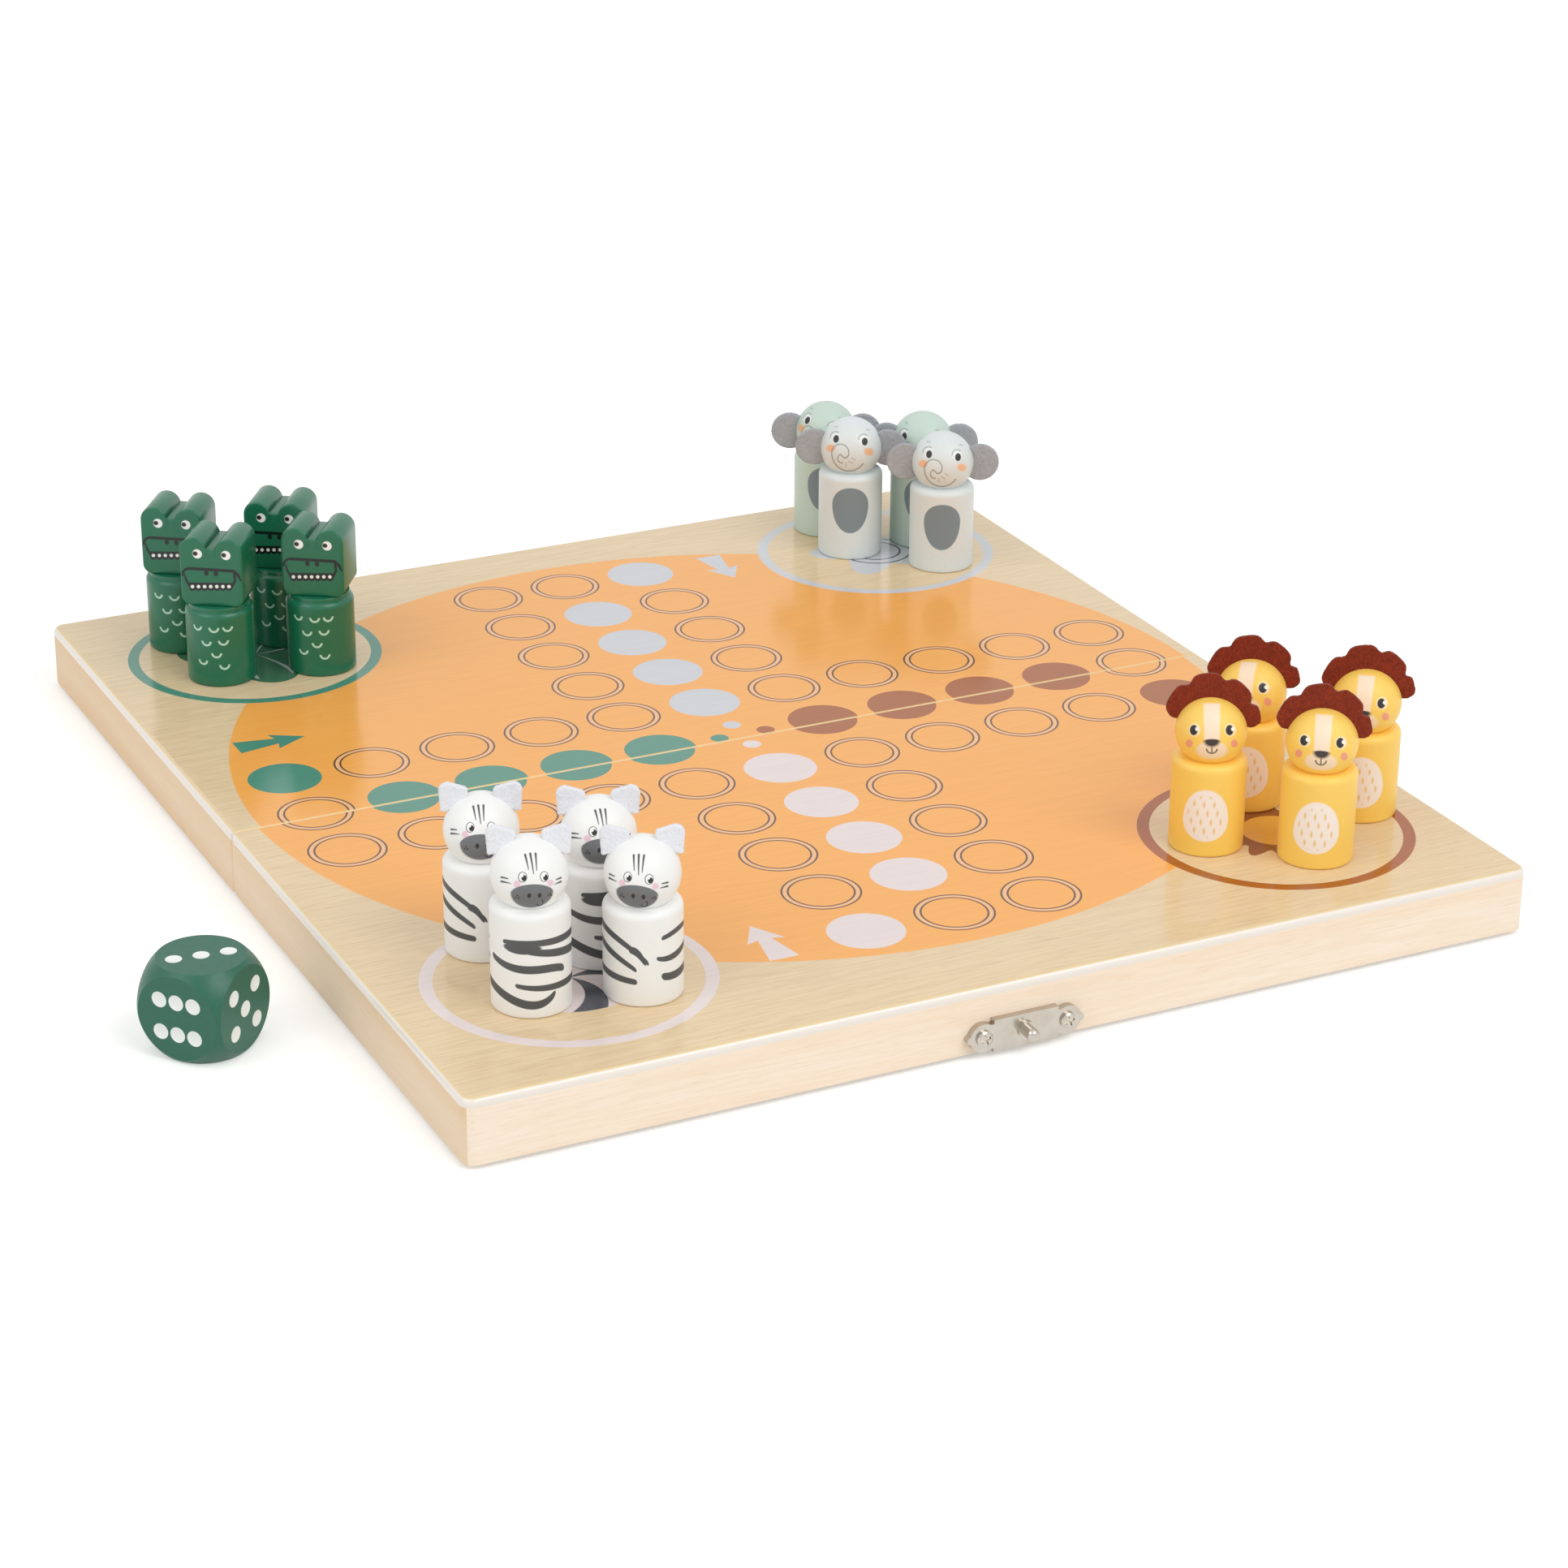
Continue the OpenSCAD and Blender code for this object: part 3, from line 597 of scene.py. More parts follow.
def play_face_colour(finish, x, y, veneer):
    """The print on the playing face: orange disc, four camps, a cross of fields, arrows and centre dots."""
    back = y > 0.0
    across, up = [v - back.choose(b, f) for v, f, b in zip((x, y), *PRINT_SHIFT)]
    right, far = across > 0.0, up > 0.0
    right_sign, far_sign = right * 2 - 1, far * 2 - 1
    wide, high = abs(across), abs(up)
    sideways = wide > high
    reach, aside = wide | high, wide & high

    def by_camp(pick, zebra, crocodile, lion, elephant):
        """One of four values, by a function that picks the first where a mask is 0 and else the second."""
        return pick(right, pick(far, zebra, crocodile), pick(far, lion, elephant))

    arm = finish.mix(sideways, finish.mix(far, PRINT_WHITE, PRINT_BLUE),
                     finish.mix(right, PRINT_GREEN, PRINT_BROWN))

    # the cross of fields, by its columns and rows from the centre
    column, row = round(across / PITCH), round(up / PITCH)
    far_out, near_in = abs(column) | abs(row), abs(column) & abs(row)
    on_cross = (1.5 - near_in) & (5.5 - far_out) & (far_out - 0.5)
    home = (0.5 - near_in) & (far_out - 0.5) & (4.5 - far_out)
    lead = (abs(column) - abs(row)) * column * row
    start = (far_out - 4.5) & (5.5 - far_out) & (near_in - 0.5) & (1.5 - near_in) & -lead
    solid = home | start
    outlined = (on_cross & -solid) * FIRM
    out = finish.distance(across - column * PITCH, up - row * PITCH)
    from_band = abs(out - BAND_R)
    field_disc = (SOLID_R - out) & (solid * FIRM)
    band = (BAND_W / 2 - from_band) & outlined
    lines = (LINE_W / 2 - abs(from_band - LINE_OUT)) & outlined

    # centre dots, and arrows that point at the centre
    dot = DOT_R - finish.distance(reach - DOT_OUT, aside)
    along = ARROW_OUT - reach
    off_line = abs(sideways.choose(-up * right_sign, across * far_sign) - ARROW_ASIDE)
    shaft = (SHAFT_HALF - along * SHAFT_TAPER - off_line) & (along + ARROW_TAIL) & (ARROW_LAP - along)
    head = ((ARROW_TIP - along) * HEAD_SPREAD - off_line) & (along - BARB_START + off_line * BARB_SLANT)

    # camps, with a ring and a motif each
    camp_x, camp_y = x - right_sign * CAMP_X, y - far_sign * CAMP_Y
    from_camp = finish.distance(camp_x, camp_y)
    ring_w = by_camp(lambda mask, first, second: mask.choose(second, first), *CAMP_RING_W)
    camp_ring = (CAMP_R - from_camp) & (from_camp - CAMP_R + ring_w)
    angle = camp_y.angle_over(camp_x)

    def waves(count, twist=0.0):
        return (angle * count + from_camp * twist).sine()

    def motif(camp, figure, soft=0.14):
        return (figure & (camp * FIRM)).cover(soft)

    leaves = (15.5 + waves(3) * 5.5) - from_camp
    leaf_veins = (0.35 - abs(waves(3) * 3.0 - from_camp * 0.1)) & (leaves - 2.0)
    sun = (14.0 + waves(12) * 2.2) - from_camp
    sun_middle = 8.5 - from_camp
    swirl_ground = 17.0 - from_camp
    swirl = swirl_ground & ((waves(5, 0.22) - 0.35) * 3.0)
    petals = (15.0 + waves(5) * 4.0) - from_camp
    petal_lines = petals & ((0.3 - abs(from_camp - 7.0)) | (0.3 - abs(from_camp - 10.0)))
    zebra_camp, crocodile_camp = (0.5 - right) & (0.5 - far), (0.5 - right) & (far - 0.5)
    lion_camp, elephant_camp = (right - 0.5) & (0.5 - far), (right - 0.5) & (far - 0.5)

    return finish.paint(
        veneer,
        ((DISC_R - finish.distance(across, up)).cover(0.3), ORANGE),
        ((CAMP_R - from_camp).cover(), veneer),
        (camp_ring.cover(), by_camp(finish.mix, PRINT_WHITE, PRINT_GREEN, PRINT_BROWN, PRINT_BLUE)),
        (band.cover() * 0.25, PRINT_WHITE),
        (lines.cover(), PRINT_LINE),
        ((field_disc | dot | shaft | head).cover(), arm),
        (motif(crocodile_camp, leaves), LEAF),
        (motif(crocodile_camp, leaf_veins), PRINT_BLUE),
        (motif(zebra_camp, swirl_ground), PRINT_WHITE),
        (motif(zebra_camp, swirl, 0.3), SLATE),
        (motif(lion_camp, sun), BARK),
        (motif(lion_camp, sun_middle), GOLD),
        (motif(elephant_camp, petals), PRINT_BLUE),
        (motif(elephant_camp, petal_lines), SLATE))


VENEER_T = 0.14         # the printed top ply, as its edge shows it
GLUE_DEPTH = 0.2        # the middle of the golden glue line under it
PRINT_STOP = 0.55       # where the print ends before the fold


def plywood():
    """Printed and lacquered birch plywood: veneer and print on the face, and pale plies with a golden line on
    the edge."""
    finish = Finish("printed_plywood")
    place = finish.place()
    x, y, z = [c / MM for c in finish.parts(place)]
    rings, pores = grain(finish, place, "x")
    veneer = finish.paint(colour(235, 210, 170), (rings * 0.2, colour(222, 191, 145)),
                          ((pores - 0.62).cover(0.1) * 0.25, colour(198, 162, 118)))
    face = play_face_colour(finish, x, y, veneer)
    face = finish.shade(face, 1.0 - (pores * 0.05 + rings * 0.03))
    face = finish.mix((PRINT_STOP - abs(y)).cover(0.15) * 0.6, face, colour(242, 206, 138))
    edge = finish.mix(pores * 0.12, colour(243, 235, 226), colour(228, 212, 190))
    glue = 0.1 - abs(z - (BOARD_H - GLUE_DEPTH))
    level = finish.paint(edge, ((z - (BOARD_H - VENEER_T)).cover(0.1), face),
                         (glue.cover(0.2) * 0.8, colour(232, 202, 134)))
    return finish.surface(level, 0.13 + pores * 0.05, pores, 0.01, IOR=1.5)


def pine(name, along, pale, deep):
    """Sanded pine with broad soft streaks along the rail and fine darker growth lines."""
    finish = Finish(name)
    place = finish.place()
    rings, pores = grain(finish, place, along, 0.9)
    broad = finish.noise(place, 60, 2.0, 0.5, along_grain(along, 0.05))
    wood = finish.paint(
        pale, (((broad - 0.45) * 4).cover(1.0) * 0.7, deep),
        (rings * 0.12, colour(232, 196, 150)), ((pores - 0.62).cover(0.16) * 0.15, colour(212, 168, 120)))
    return finish.surface(wood, 0.42 + pores * 0.1, pores, 0.02)


def nickel():
    """Bright nickel plate on stamped steel, faintly brushed along X."""
    finish = Finish("nickel_plate")
    place = finish.place()
    brushed = finish.noise(place, 4000, 2.0, 0.6, (0.03, 1, 1))
    cloud = finish.noise(place, 300, 2.0, 0.5)
    metal = finish.mix(cloud, colour(206, 201, 194), colour(184, 175, 162))
    return finish.surface(metal, 0.14 + brushed * 0.12, brushed, 0.006, Metallic=1.0)


# ---- Painted pawns ----

ARC_MM = PAWN_R * pi / 180      # millimetres round a body to a degree
PRINT_REACH = 0.12              # how far out of the head its print still counts
STRIPE_SPREAD = 0.12            # added to each side of a zebra's stripe

# The zebra's stripes by their points of (degrees, height, width), counted to the left and to the right
LEFT_STRIPES = [
    [(-218, 18.4, 0.4), (-200, 18.2, 1.3), (-180, 18.2, 1.5), (-151, 18.6, 1.3), (-131, 18.6, 1.4),
     (-100, 17.4, 1.6), (-60, 17.1, 1.5), (-40, 16.2, 1.3), (-20, 14.5, 1.2), (3, 11.2, 1.2)],
    [(-212, 17.4, 0.4), (-201, 16.8, 1.3), (-180, 16.1, 1.6), (-151, 16.1, 1.5), (-131, 15.2, 1.7),
     (-100, 13.5, 1.7), (-60, 13.2, 1.6), (-40, 11.4, 1.4), (-14, 9.4, 1.0)],
    [(-17, 13.9, 1.5), (-9, 13.3, 1.9), (-3, 12.2, 1.9)],
    [(-199, 8, 0.8), (-180, 7.5, 1.2), (-160, 7.4, 1.3), (-140, 7.2, 1.3), (-120, 7.3, 1.3),
     (-80, 6.8, 1.5), (-60, 6.7, 1.6), (-40, 6.8, 1.6), (-14, 6.2, 1.0)]]
RIGHT_STRIPES = [
    [(29, 16.5, 0.9), (42, 16.9, 1.1), (62, 17.3, 1.1), (80, 17.1, 1.2), (96, 16.7, 0.8)],
    [(21, 11.6, 0.8), (28, 11.4, 1.0), (42, 11.2, 1.3), (62, 11.7, 1.5), (80, 12.1, 1.4), (98, 12.2, 1)],
    [(118, 13.4, 1.3), (140, 12.6, 1.5), (160, 12.2, 1.6), (180, 12, 1.75), (200, 12, 1.8), (228, 11.2, 1.6)],
    [(31, 7, 1.4), (42, 6.7, 1.9), (62, 6.3, 2), (80, 6.4, 1.8), (100, 7.1, 1.8), (120, 6.2, 2),
     (140, 4.5, 2), (161, 3.8, 2), (180, 3.7, 1.9), (200, 4.2, 1.8), (211, 4.7, 1.4)]]
WEDGE_AT = (-192, 17.1)         # joins the two upper stripes: degrees and height

# The lion's belly dashes: from row to row, from dash to dash, and each row's shift as a share of that
DASH_ROW, DASH_GAP, DASH_SHIFT = 2.3, 2.4, 0.37

# The crocodile's scales by degrees and height
SCALES = ((-25, 16.9), (5, 16.8), (28, 16.9), (-9, 12.9), (20, 13.2), (7.5, 9.7), (-17, 7.5), (20, 6.4))
# Its teeth: from tooth to tooth, and the middle, the half length and the slope of their row
TOOTH_PITCH, TEETH_MIDDLE, TEETH_HALF, GUM_SLOPE = 1.63, -0.35, 5.7, 0.06


def painted(finish):
    """Fine brush and wood texture shared by the painted pawns: a cloud and upright streaks."""
    place = finish.place()
    return finish.noise(place, 900, 3.0, 0.6), finish.noise(place, 2400, 2.0, 0.5, (1, 1, 0.08))


def face_plane(finish):
    """The face print's coordinates across and up, and millimetres inside the front of the head."""
    place = finish.attribute("head_print")
    front, across, up = finish.parts(place)
    return across, up, front & (HEAD_R + PRINT_REACH - finish.length(place))


def nearer(across, out):
    """Across distance from the nearer of two middles that lie out to each side."""
    return across - across.sign() * out


def body_plane(finish):
    """The angle round the body in degrees from its front, and the height up it."""
    x, y, z = finish.parts(finish.attribute("body_print"))
    return y.angle_over(x) * (180 / pi), z


def stripe(degrees, height, points):
    """A stripe round the body with round ends. Its middle line and its width are the polynomials that best
    fit the points: up to the fourth power for the line, and to the second for the width."""
    angles, heights, widths = np.array(points, float).T
    middle, half = (angles[0] + angles[-1]) / 2, (angles[-1] - angles[0]) / 2
    way = (degrees - middle) / half

    def fitted(values, power):
        value = None
        for factor in np.polyfit((angles - middle) / half, values, min(power, len(points) - 1)):
            value = float(factor) if value is None else way * value + float(factor)
        return value

    beyond = ((abs(way) - 1) * (half * ARC_MM)) | 0.0
    away = degrees.nodes.distance(beyond, height - fitted(heights, 4))
    return fitted(widths / 2 + STRIPE_SPREAD, 2) - away


ZEBRA_WHITE, ZEBRA_DARK, ZEBRA_GREY = colour(247, 247, 245), colour(80, 82, 84), colour(112, 114, 117)
BLACK, WHITE, PINK = colour(34, 32, 32), colour(250, 250, 248), colour(236, 176, 200)


def zebra_paint():
    """White paint with dark bands round the body, and a face with a broad dark muzzle."""
    finish = Finish("zebra_paint")
    cloud, streak = painted(finish)
    across, up, on_head = face_plane(finish)
    face = Drawing(finish, across, up)
    eye = Drawing(finish, nearer(across, 2.35), up)
    nostril = Drawing(finish, nearer(across - 0.25, 1.13), up)
    degrees, height = body_plane(finish)
    left = degrees.math("WRAP", degrees, 100.0, -260.0)
    right = degrees.math("WRAP", degrees, 270.0, -90.0)
    stripes = either([stripe(left, height, points) for points in LEFT_STRIPES]
                     + [stripe(right, height, points) for points in RIGHT_STRIPES])
    wedge = Drawing(finish, left * ARC_MM, height).spot((WEDGE_AT[0] * ARC_MM, WEDGE_AT[1]), (4.4, 1.35))
    muzzle = face.egg((-0.15, -4.25), 4.6, 1.75, 3.4)
    whiskers = face.strokes(
        ((-6.6, -0.85), (-5.4, -1.15), 0.42, 0.25), ((-6.6, -1.75), (-4.8, -2.2), 0.46, 0.15),
        ((6.2, -1.3), (5.1, -1.65), 0.42, 0.25), ((6.2, -2.15), (4.75, -2.65), 0.46, 0.15))
    tuft = face.strokes(((-1.6, 3.9), (-1.05, 0.7), 0.5, 0.18), ((-0.5, 4.1), (0, -0.2), 0.52, 0.2),
                        ((0.65, 4.1), (0.7, 0.5), 0.5, 0.2))
    smile = face.arc((1.55, -6.5), 0.72, 200, 420, 0.22)
    freckles = face.spots(((3.4, -5.0), 0.17), ((3.8, -4.75), 0.16), ((4.05, -5.05), 0.17),
                          ((-3.4, -4.9), 0.17), ((-3.05, -5.4), 0.2), ((-3.7, -5.3), 0.16))
    skin = finish.paint(
        finish.mix(cloud, ZEBRA_WHITE, colour(243, 243, 240)),
        ((stripes | wedge).cover(0.2), ZEBRA_DARK),
        ((face.spot((-3.5, -2.35), 0.72) & on_head).cover(0.4) * 0.8, PINK),
        ((face.spot((3.75, -2.3), 0.68) & on_head).cover(0.4) * 0.8, PINK),
        (((whiskers | tuft) & on_head).cover(0.18), ZEBRA_DARK),
        ((muzzle & on_head).cover(), ZEBRA_GREY),
        (((nostril.spot((0, -4.95), (0.42, 0.52)) | smile | freckles) & on_head).cover(0.16), BLACK),
        ((eye.spot((0, -0.9), (0.96, 1.16)) & on_head).cover(0.14), ZEBRA_DARK),
        ((eye.spot((0.02, -0.9), (0.8, 1.0)) & on_head).cover(0.1), WHITE),
        ((eye.spot((0.28, -1.1), (0.55, 0.68)) & on_head).cover(0.16), BLACK),
        ((eye.spot((-0.12, -0.62), 0.3) & on_head).cover(0.12), WHITE))
    return finish.surface(skin, 0.38 + cloud * 0.1, streak, 0.02)


def lion_paint():
    """Yellow paint with a cream blaze, muzzle and belly."""
    finish = Finish("lion_paint")
    cloud, streak = painted(finish)
    across, up, on_head = face_plane(finish)
    face = Drawing(finish, across, up)
    half_face = Drawing(finish, abs(across), up)
    eye = Drawing(finish, nearer(across, 4.2), up)
    degrees, height = body_plane(finish)
    round_body = degrees * ARC_MM
    belly = Drawing(finish, round_body, height).egg((-0.1, 9.2), 5.7, 8.4, 5.0)
    row = round(height / DASH_ROW)
    shifted = round_body + (row * DASH_SHIFT).fraction() * DASH_GAP
    dash = Drawing(finish, shifted - round(shifted / DASH_GAP) * DASH_GAP, height - row * DASH_ROW)
    dashes = dash.spot((0, 0), (0.26, 0.8)) & (belly - 0.9)
    blaze = ((up * 0.02 + 1.8) - abs(across)) & (6.1 - up) & (up + 2.6)
    nose = face.egg((0, -2.75), 1.85, 0.42, 1.4)
    lips = (0.13 - abs(face.spot((0, -4.65), (1.22, 1.0)))) & (-4.6 - up)
    mouth = lips | face.stroke((0, -3.9), (0, -5.5), 0.26)
    cream = colour(252, 234, 222)
    skin = finish.paint(
        finish.mix(cloud, colour(255, 214, 104), colour(255, 208, 94)),
        (belly.cover(0.3), colour(252, 240, 230)), (dashes.cover(0.25), colour(240, 202, 132)),
        ((blaze & on_head).cover(0.5), cream),
        ((face.spot((0, -4.9), (3.5, 1.95)) & on_head).cover(0.7), cream),
        ((half_face.spot((5.3, -3.3), (0.75, 0.85)) & on_head).cover(0.5), colour(238, 138, 140)),
        (((nose | mouth) & on_head).cover(0.2), colour(56, 44, 40)),
        ((eye.spot((0.1, -0.15), (1.25, 1.4)) & on_head).cover(0.6) * 0.8, colour(255, 246, 230)),
        ((eye.spot((-0.05, -0.2), (0.92, 1.22)) & on_head).cover(0.14), colour(34, 30, 30)),
        ((eye.spot((0.78, 0.05), 0.5) & on_head).cover(0.14), colour(255, 246, 230)))
    return finish.surface(skin, 0.36 + cloud * 0.1, streak, 0.02)


def elephant_paint(name, light, deep):
    """Pale paint with a curled trunk, orange cheeks and a blue-grey belly."""
    finish = Finish(name)
    cloud, streak = painted(finish)
    across, up, on_head = face_plane(finish)
    face = Drawing(finish, across, up)
    half_face = Drawing(finish, abs(across), up)
    eye = Drawing(finish, nearer(across, 4.05), up)
    degrees, height = body_plane(finish)
    belly = Drawing(finish, degrees * ARC_MM, height).egg((0, 16), 5.4, 5.4, 8.1)
    trunk = face.stroke((-1.25, -4.0), (-2.5, -3.1), 0.3) | face.arcs(
        ((-2.5, -2.75), 2.45, 0, 180, 0.3), ((-0.1, -2.45), 4.87, 178, 330, 0.3),
        ((-1.35, -2.75), 1.3, -85, 0, 0.35), ((-1.95, -4.2), 1.15, 110, 290, 0.28))
    hairs = face.strokes(((0.9, -3.8), (1.8, -4.3), 0.3), ((0.1, -4.8), (1.1, -5.2), 0.3),
                         ((-0.6, -5.4), (-0.6, -6.1), 0.3))
    brows = half_face.stroke((4.2, 4.7), (4.9, 4.7), 0.42)
    lids = eye.arc((-0.3, 1.75), 1.42, 55, 195, 0.26)
    skin = finish.paint(
        finish.mix(cloud, light, deep),
        (belly.cover(0.2), colour(126, 142, 150)),
        ((half_face.spot((5.4, -1.55), (1.1, 0.85)) & on_head).cover(0.9), colour(250, 158, 24)),
        ((eye.spot((-0.3, 1.6), (1.25, 1.5)) & on_head).cover(0.5), colour(242, 246, 246)),
        (((trunk | lids) & on_head).cover(0.25) * 0.8, colour(120, 124, 118)),
        (((hairs | brows) & on_head).cover(0.3) * 0.5, colour(134, 144, 138)),
        ((eye.spot((0, 1.1), (0.82, 1.1)) & on_head).cover(0.16), colour(34, 36, 36)))
    return finish.surface(skin, 0.38 + cloud * 0.1, streak, 0.02)


def crocodile_paint():
    """Green gloss paint with the face on the head block's front and pale scales round the body."""
    finish = Finish("crocodile_paint")
    cloud, streak = painted(finish)
    depth, across, up = finish.parts(finish.attribute("head_print"))
    front = (depth - SNOUT_FRONT + 0.7) & (up - 0.1)
    face = Drawing(finish, across, up)
    eye = Drawing(finish, nearer(across - 0.3, 3.8), up)
    nostril = Drawing(finish, nearer(across + 0.05, 1.27), up)
    mouth = face.strokes(
        ((-5.7, 10.2), (5.9, 10.15), 0.85), ((5.9, 10.15), (7.1, 9.1), 0.9, 0.95),
        ((7.1, 9.1), (7.8, 7.6), 0.95, 0.4), ((-7.2, 8.4), (-6.8, 7.0), 0.4, 0.65),
        ((-6.8, 7.0), (-5.9, 5.0), 0.65, 0.6), ((6.1, 9.7), (6.25, 7.6), 0.75, 0.65),
        ((6.25, 7.6), (5.3, 5.6), 0.65, 0.6), ((-5.9, 5.95), (5.4, 6.5), 0.7))
    mouth = mouth | face.arc((-5.7, 8.2), 2.0, 90, 185, 0.72) | nostril.spot((0, 9.15), (0.62, 0.72))
    along_row = across - TEETH_MIDDLE
    teeth_row = front & (TEETH_HALF - abs(along_row))
    tooth = Drawing(finish, along_row - round(along_row / TOOTH_PITCH) * TOOTH_PITCH, up - across * GUM_SLOPE)
    degrees, height = body_plane(finish)
    body = Drawing(finish, degrees * ARC_MM, height)
    scales = body.arcs(*[((angle * ARC_MM, level), 1.2, 185, 355, 0.52) for angle, level in SCALES])
    # painted shade: the two creases where the dip between the bumps meets them are painted a darker green,
    # along the top and down the back of the head block
    crease_shade = (0.3 - abs(abs(across) - 1.15)) & (up - 13.5) & (0.6 - front)
    dark = colour(10, 24, 20)
    skin = finish.paint(
        finish.mix(cloud, colour(28, 114, 82), colour(22, 104, 74)),
        (crease_shade.cover(0.4) * 0.6, colour(16, 62, 44)),
        ((scales & (CROC_BODY_H - 0.5 - height)).cover(0.2), colour(190, 226, 206)),
        ((mouth & front).cover(0.2), dark),
        ((tooth.spot((0, 5.35), (1.0, 1.05)) & teeth_row).cover(0.2), dark),
        ((tooth.spot((0, 5.5), 0.46) & teeth_row).cover(0.2), WHITE),
        ((eye.spot((0, 14.35), 1.25) & front).cover(0.2), WHITE),
        ((eye.spot((-0.55, 14.4), (0.68, 0.62)) & front).cover(0.25), colour(20, 24, 24)))
    return finish.surface(skin, 0.22 + cloud * 0.08, streak, 0.02)


def felt_cloth(name, light, dark):
    """Pressed felt: matted fibres as two sizes of noise in colour and relief, with a soft sheen."""
    finish = Finish(name)
    place = finish.place()
    fibres = finish.noise(place, 1500, 4.0, 0.7, (1, 1.6, 0.8))
    clumps = finish.noise(place, 500, 3.0, 0.6)
    lit = fibres.math("ADD", fibres * 1.6 - 0.3, (clumps - 0.5) * 0.6, clamp=True)
    constants = {"Sheen Weight": 0.25, "Specular IOR Level": 0.2}
    return finish.surface(finish.mix(lit, dark, light), 0.95, fibres + clumps * 0.7, 0.35, **constants)


PIPS = {  # pips in pitches from each face's middle
    1: [(0, 0)], 2: [(-1, -1), (1, 1)], 3: [(-1, 1), (0, 0), (1, -1)],
    4: [(-1, -1), (-1, 1), (1, -1), (1, 1)], 5: [(-1, -1), (-1, 1), (0, 0), (1, -1), (1, 1)],
    6: [(row, i) for row in (-0.9, 0.9) for i in (-1, 0, 1)],
}
PIP_PITCH, PIP_R, PIP_REACH = 4.4, 1.9, 1.2     # a pip shows that far below its face


def die_paint():
    """Green paint; a pip is white within its radius of its middle, taken on the face that it lies on."""
    finish = Finish("die_paint")
    place = finish.place()
    c, s = cos(radians(DIE_TURN)), sin(radians(DIE_TURN))
    x, y, z = [v / MM - m for v, m in zip(finish.parts(place), DIE_MIDDLE)]
    x, y = x * c + y * s, y * c - x * s
    cloud = finish.noise(place, 700, 3.0, 0.6)
    # each face: the distance out of it, the drawing plane that its pips lie in, and their number
    faces = [(z, x, y, 3), (-z, x, -y, 4), (-y, x, z, 5), (y, x, -z, 2), (x, -z, y, 1), (-x, z, y, 6)]
    pips = []
    for out, across, up, count in faces:
        places = [(a * PIP_PITCH, b * PIP_PITCH) for a, b in PIPS[count]]
        drawn = Drawing(finish, across, up).spots(*[(middle, PIP_R) for middle in places])
        pips.append(drawn & (out - DIE_S / 2 + PIP_REACH))
    skin = finish.mix(cloud, colour(31, 102, 80), colour(25, 93, 73))
    skin = finish.paint(skin, (either(pips).cover(0.1), colour(240, 243, 238)))
    return finish.surface(skin, 0.3 + cloud * 0.12, cloud, 0.02)


# ---- Dress the wooden and metal parts ----

# The side rails' pine is given darker tones and the front and back rails' pine paler ones. This is painted
# shade on the side rails and painted light on the front and back rails, for how the light falls on each. Each
# also has its grain along its own rail.
shaded_pine_y = pine("shaded_pine_along_y", "y", colour(240, 216, 186), colour(232, 196, 150))
# by the first of these words that a node's name holds; the rest is metal
finishes = [
    ("panel", plywood()), ("left_rail", shaded_pine_y), ("right_rail", shaded_pine_y),
    ("rail", pine("lit_pine_along_x", "x", colour(255, 243, 226), colour(252, 226, 198))),
    ("die", die_paint()), ("", nickel())]
for name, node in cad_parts.items():
    node.data.materials.clear()
    node.data.materials.append(next(material for word, material in finishes if word in name))

# ---- Make the pawns ----

# Each felt piece: its node's ending, its slot, its light and dark tones, its shape, the rectangle round its
# flat cut and its flat area, in millimetres
FELTS = {
    "zebra": ("ears", "white_felt", (252, 252, 255), (236, 238, 247), zebra_ears, (18.8, 10), 62),
    "lion": ("mane", "mane_felt", (166, 58, 24), (92, 24, 8), mane, (27, 14.2), 133),
    "elephant": ("ears", "grey_felt", (187, 191, 197), (161, 164, 170), elephant_ears, (31.4, 10.6), 134),
}
MINT_ELEPHANTS = ("elephant_3", "elephant_4")


def crocodile_pawn(pawn, paint):
    """A turned body and its sawn head block."""
    body = pawn_piece(pawn + "_turned_body", lathe(crocodile_body_profile()), pawn, paint, "crocodile_paint")
    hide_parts(pawn)
    points, faces = plate(snout_outline(), np.array([0, SNOUT_MIDDLE]), SNOUT_D, SNOUT_EDGE)
    block = (points + (SNOUT_FRONT - SNOUT_D / 2, 0, CROC_BODY_H + NECK_H), faces)
    head = pawn_piece(pawn + "_head_block", block, pawn, paint, "crocodile_paint", sharp=60)
    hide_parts(pawn + "_head")


def round_pawn(pawn, paint, cloth):
    """A turned body with its head, and the felt that is stretched on it."""
    animal, number = pawn.split("_")
    ending, slot, _, _, shape, (cut_w, cut_l), area = FELTS[animal]
    body_h = BODY_H + SPOTS[animal][int(number) - 1][2]
    skin = lathe(round_pawn_profile(body_h))
    body = pawn_piece(pawn + "_turned_body", skin, pawn, paint, animal + "_paint")
    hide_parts(pawn)
    skin = shape(int(number), body_h + HEAD_UP)
    soft = pawn_piece(f"{pawn}_felt_{ending}", skin, pawn, cloth, slot, sharp=180)
    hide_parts(f"{pawn}_{ending}")
    cut_w * MM
    cut_l * MM
    area * MM * MM
    body.name


paints = {"zebra": zebra_paint(), "lion": lion_paint(), "crocodile": crocodile_paint(),
          "elephant": elephant_paint("elephant_paint", colour(226, 233, 233), colour(219, 227, 226))}
mint = elephant_paint("elephant_paint_mint", colour(204, 222, 211), colour(197, 215, 204))
cloths = {animal: felt_cloth(slot, colour(*light), colour(*dark))
          for animal, (_, slot, light, dark, *_) in FELTS.items()}
for animal, spots in SPOTS.items():
    for number in range(1, len(spots) + 1):
        pawn = f"{animal}_{number}"
        if animal == "crocodile":
            crocodile_pawn(pawn, paints[animal])
        else:
            round_pawn(pawn, mint if pawn in MINT_ELEPHANTS else paints[animal], cloths[animal])

# ---- Floor, world and lights ----

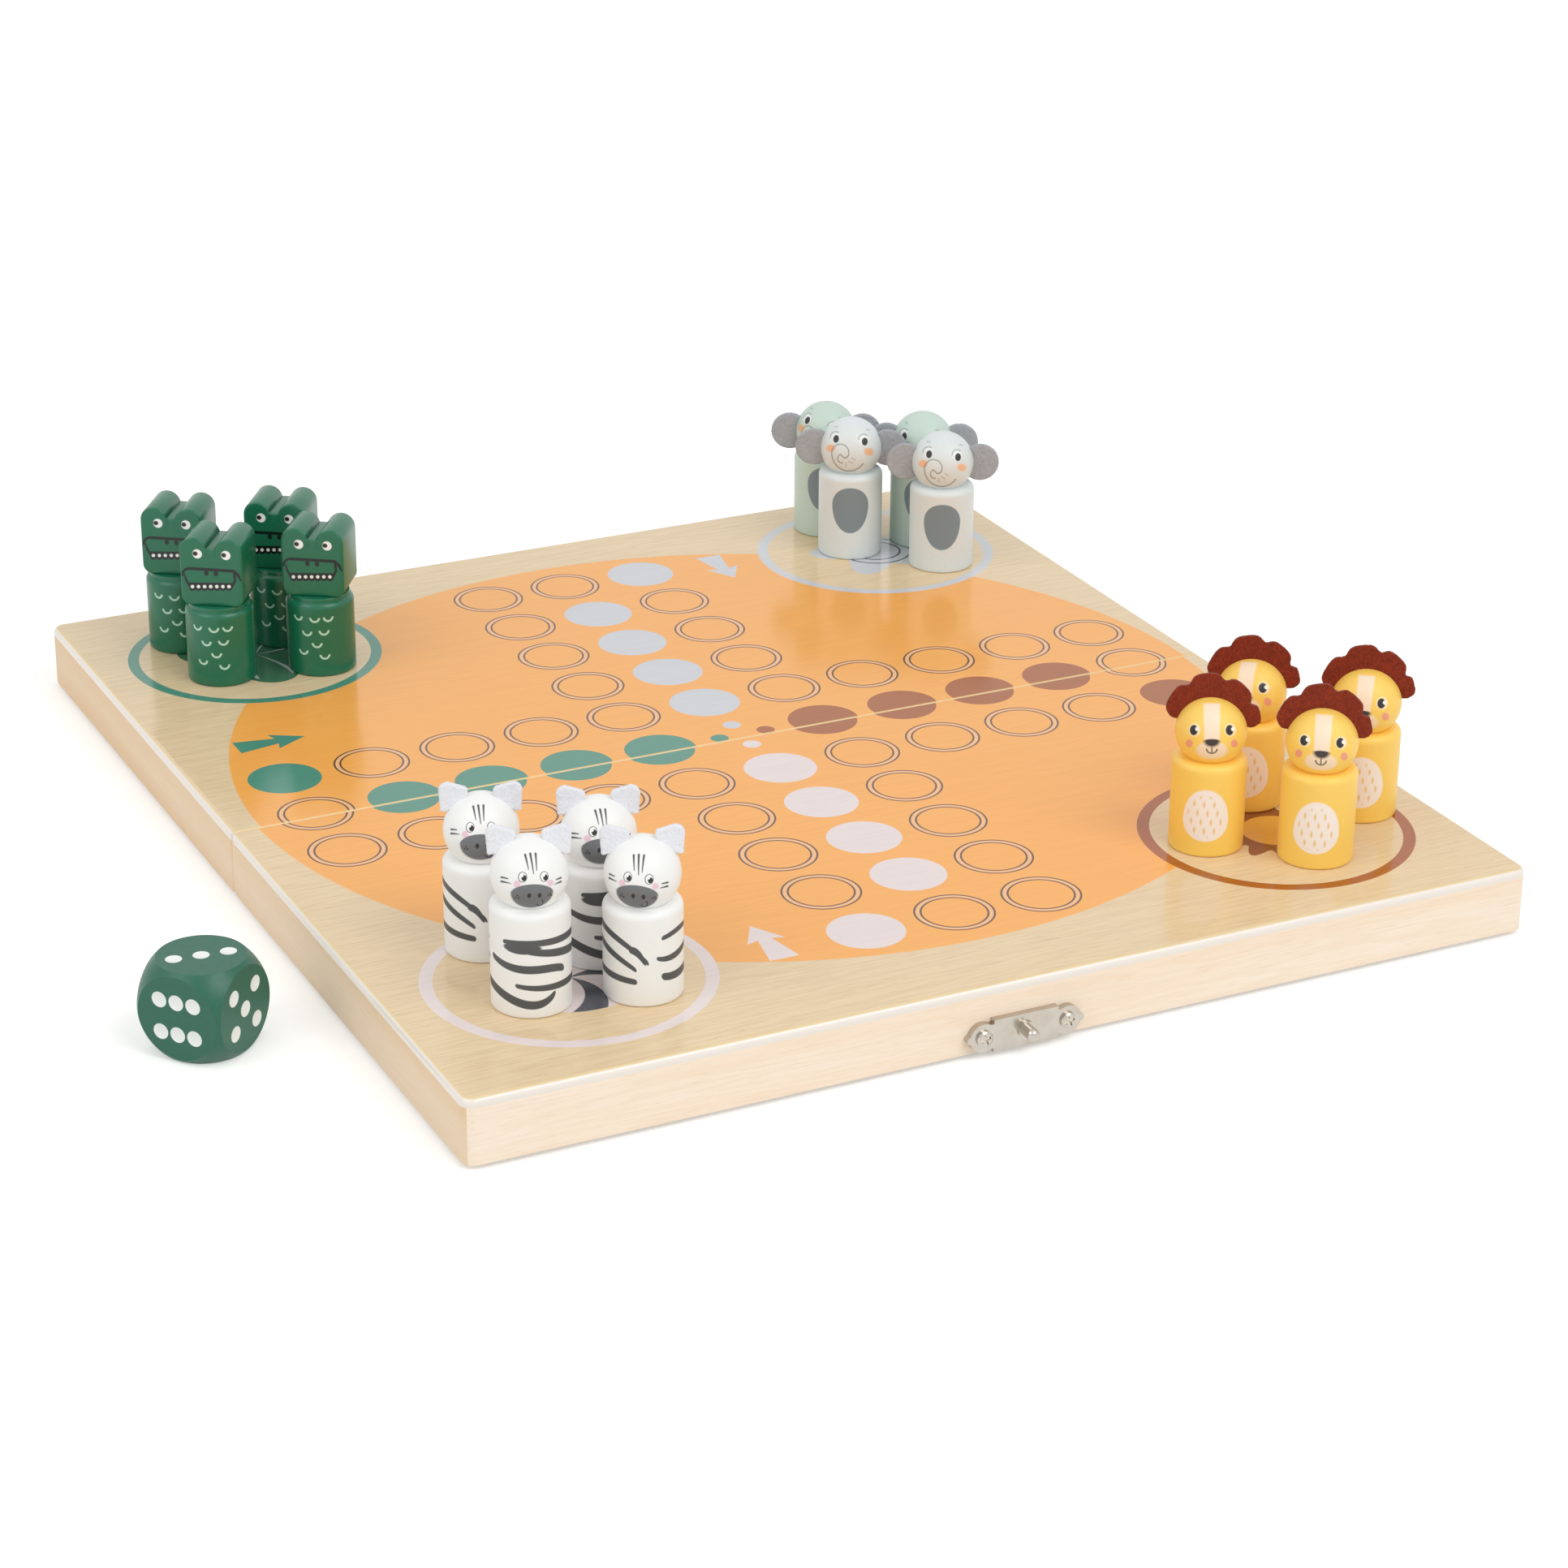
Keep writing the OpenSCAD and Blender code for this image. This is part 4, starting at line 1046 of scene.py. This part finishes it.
FLOOR_HALF, FLOOR_GAP = 1.5, 0.0001     # metres; the gap keeps the floor off what stands on it
WHITE_LIGHT, NO_LIGHT = (1, 1, 1, 1), (0, 0, 0, 1)
SKY_LIGHT = 0.66                        # the world's strength, but the camera and mirrors see 1


def floor_paint():
    """White floor: the camera and mirrors see it lifted to white, and all other light its plain paint."""
    finish = Finish("floor_paint")
    speck = finish.noise(finish.place(), 400, 2.0, 0.5)
    ground = finish.mix(speck, colour(236, 236, 234), colour(232, 232, 230))
    lift = {"Emission Color": finish.mix(finish.seen(), NO_LIGHT, WHITE_LIGHT), "Emission Strength": 0.35}
    return finish.surface(ground, 0.8, **lift, **{"Specular IOR Level": 0.0})


mesh = bpy.data.meshes.new("floor")
floor_z = FLOOR_Z * MM - FLOOR_GAP
corners = [(a * FLOOR_HALF, b * FLOOR_HALF, floor_z) for a, b in ((-1, -1), (1, -1), (1, 1), (-1, 1))]
mesh.from_pydata(corners, [], [(0, 1, 2, 3)])
mesh.materials.append(floor_paint())
floor = bpy.data.objects.new("floor", mesh)
bpy.context.scene.collection.objects.link(floor)
floor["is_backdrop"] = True

world = bpy.data.worlds.new("studio")
bpy.context.scene.world = world
world.use_nodes = True
sky = Nodes(world.node_tree)
strength = SKY_LIGHT + sky.seen() * (1 - SKY_LIGHT)
backdrop = sky.add("ShaderNodeBackground", {}, {"Color": WHITE_LIGHT, "Strength": strength})
sky.add("ShaderNodeOutputWorld", {}, {"Surface": backdrop})


def soft_light(name, place, watts, size):
    """A square soft light that looks at the middle of the board."""
    light = bpy.data.lights.new(name, "AREA")
    light.energy, light.size = watts, size
    lamp = bpy.data.objects.new(name, light)
    lamp.location = place
    lamp.rotation_euler = (-lamp.location).to_track_quat("-Z", "Y").to_euler()
    bpy.context.scene.collection.objects.link(lamp)


soft_light("key_light", (0.5, -1.3, 1.5), 13, 1.2)
soft_light("fill_light", (-1.4, -0.2, 1.2), 6.5, 1.2)

bpy.context.scene.view_settings.view_transform = "Standard"

visual_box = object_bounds()
{"cad": [list(corner) for corner in cad_box], "visual": [list(corner) for corner in visual_box]}
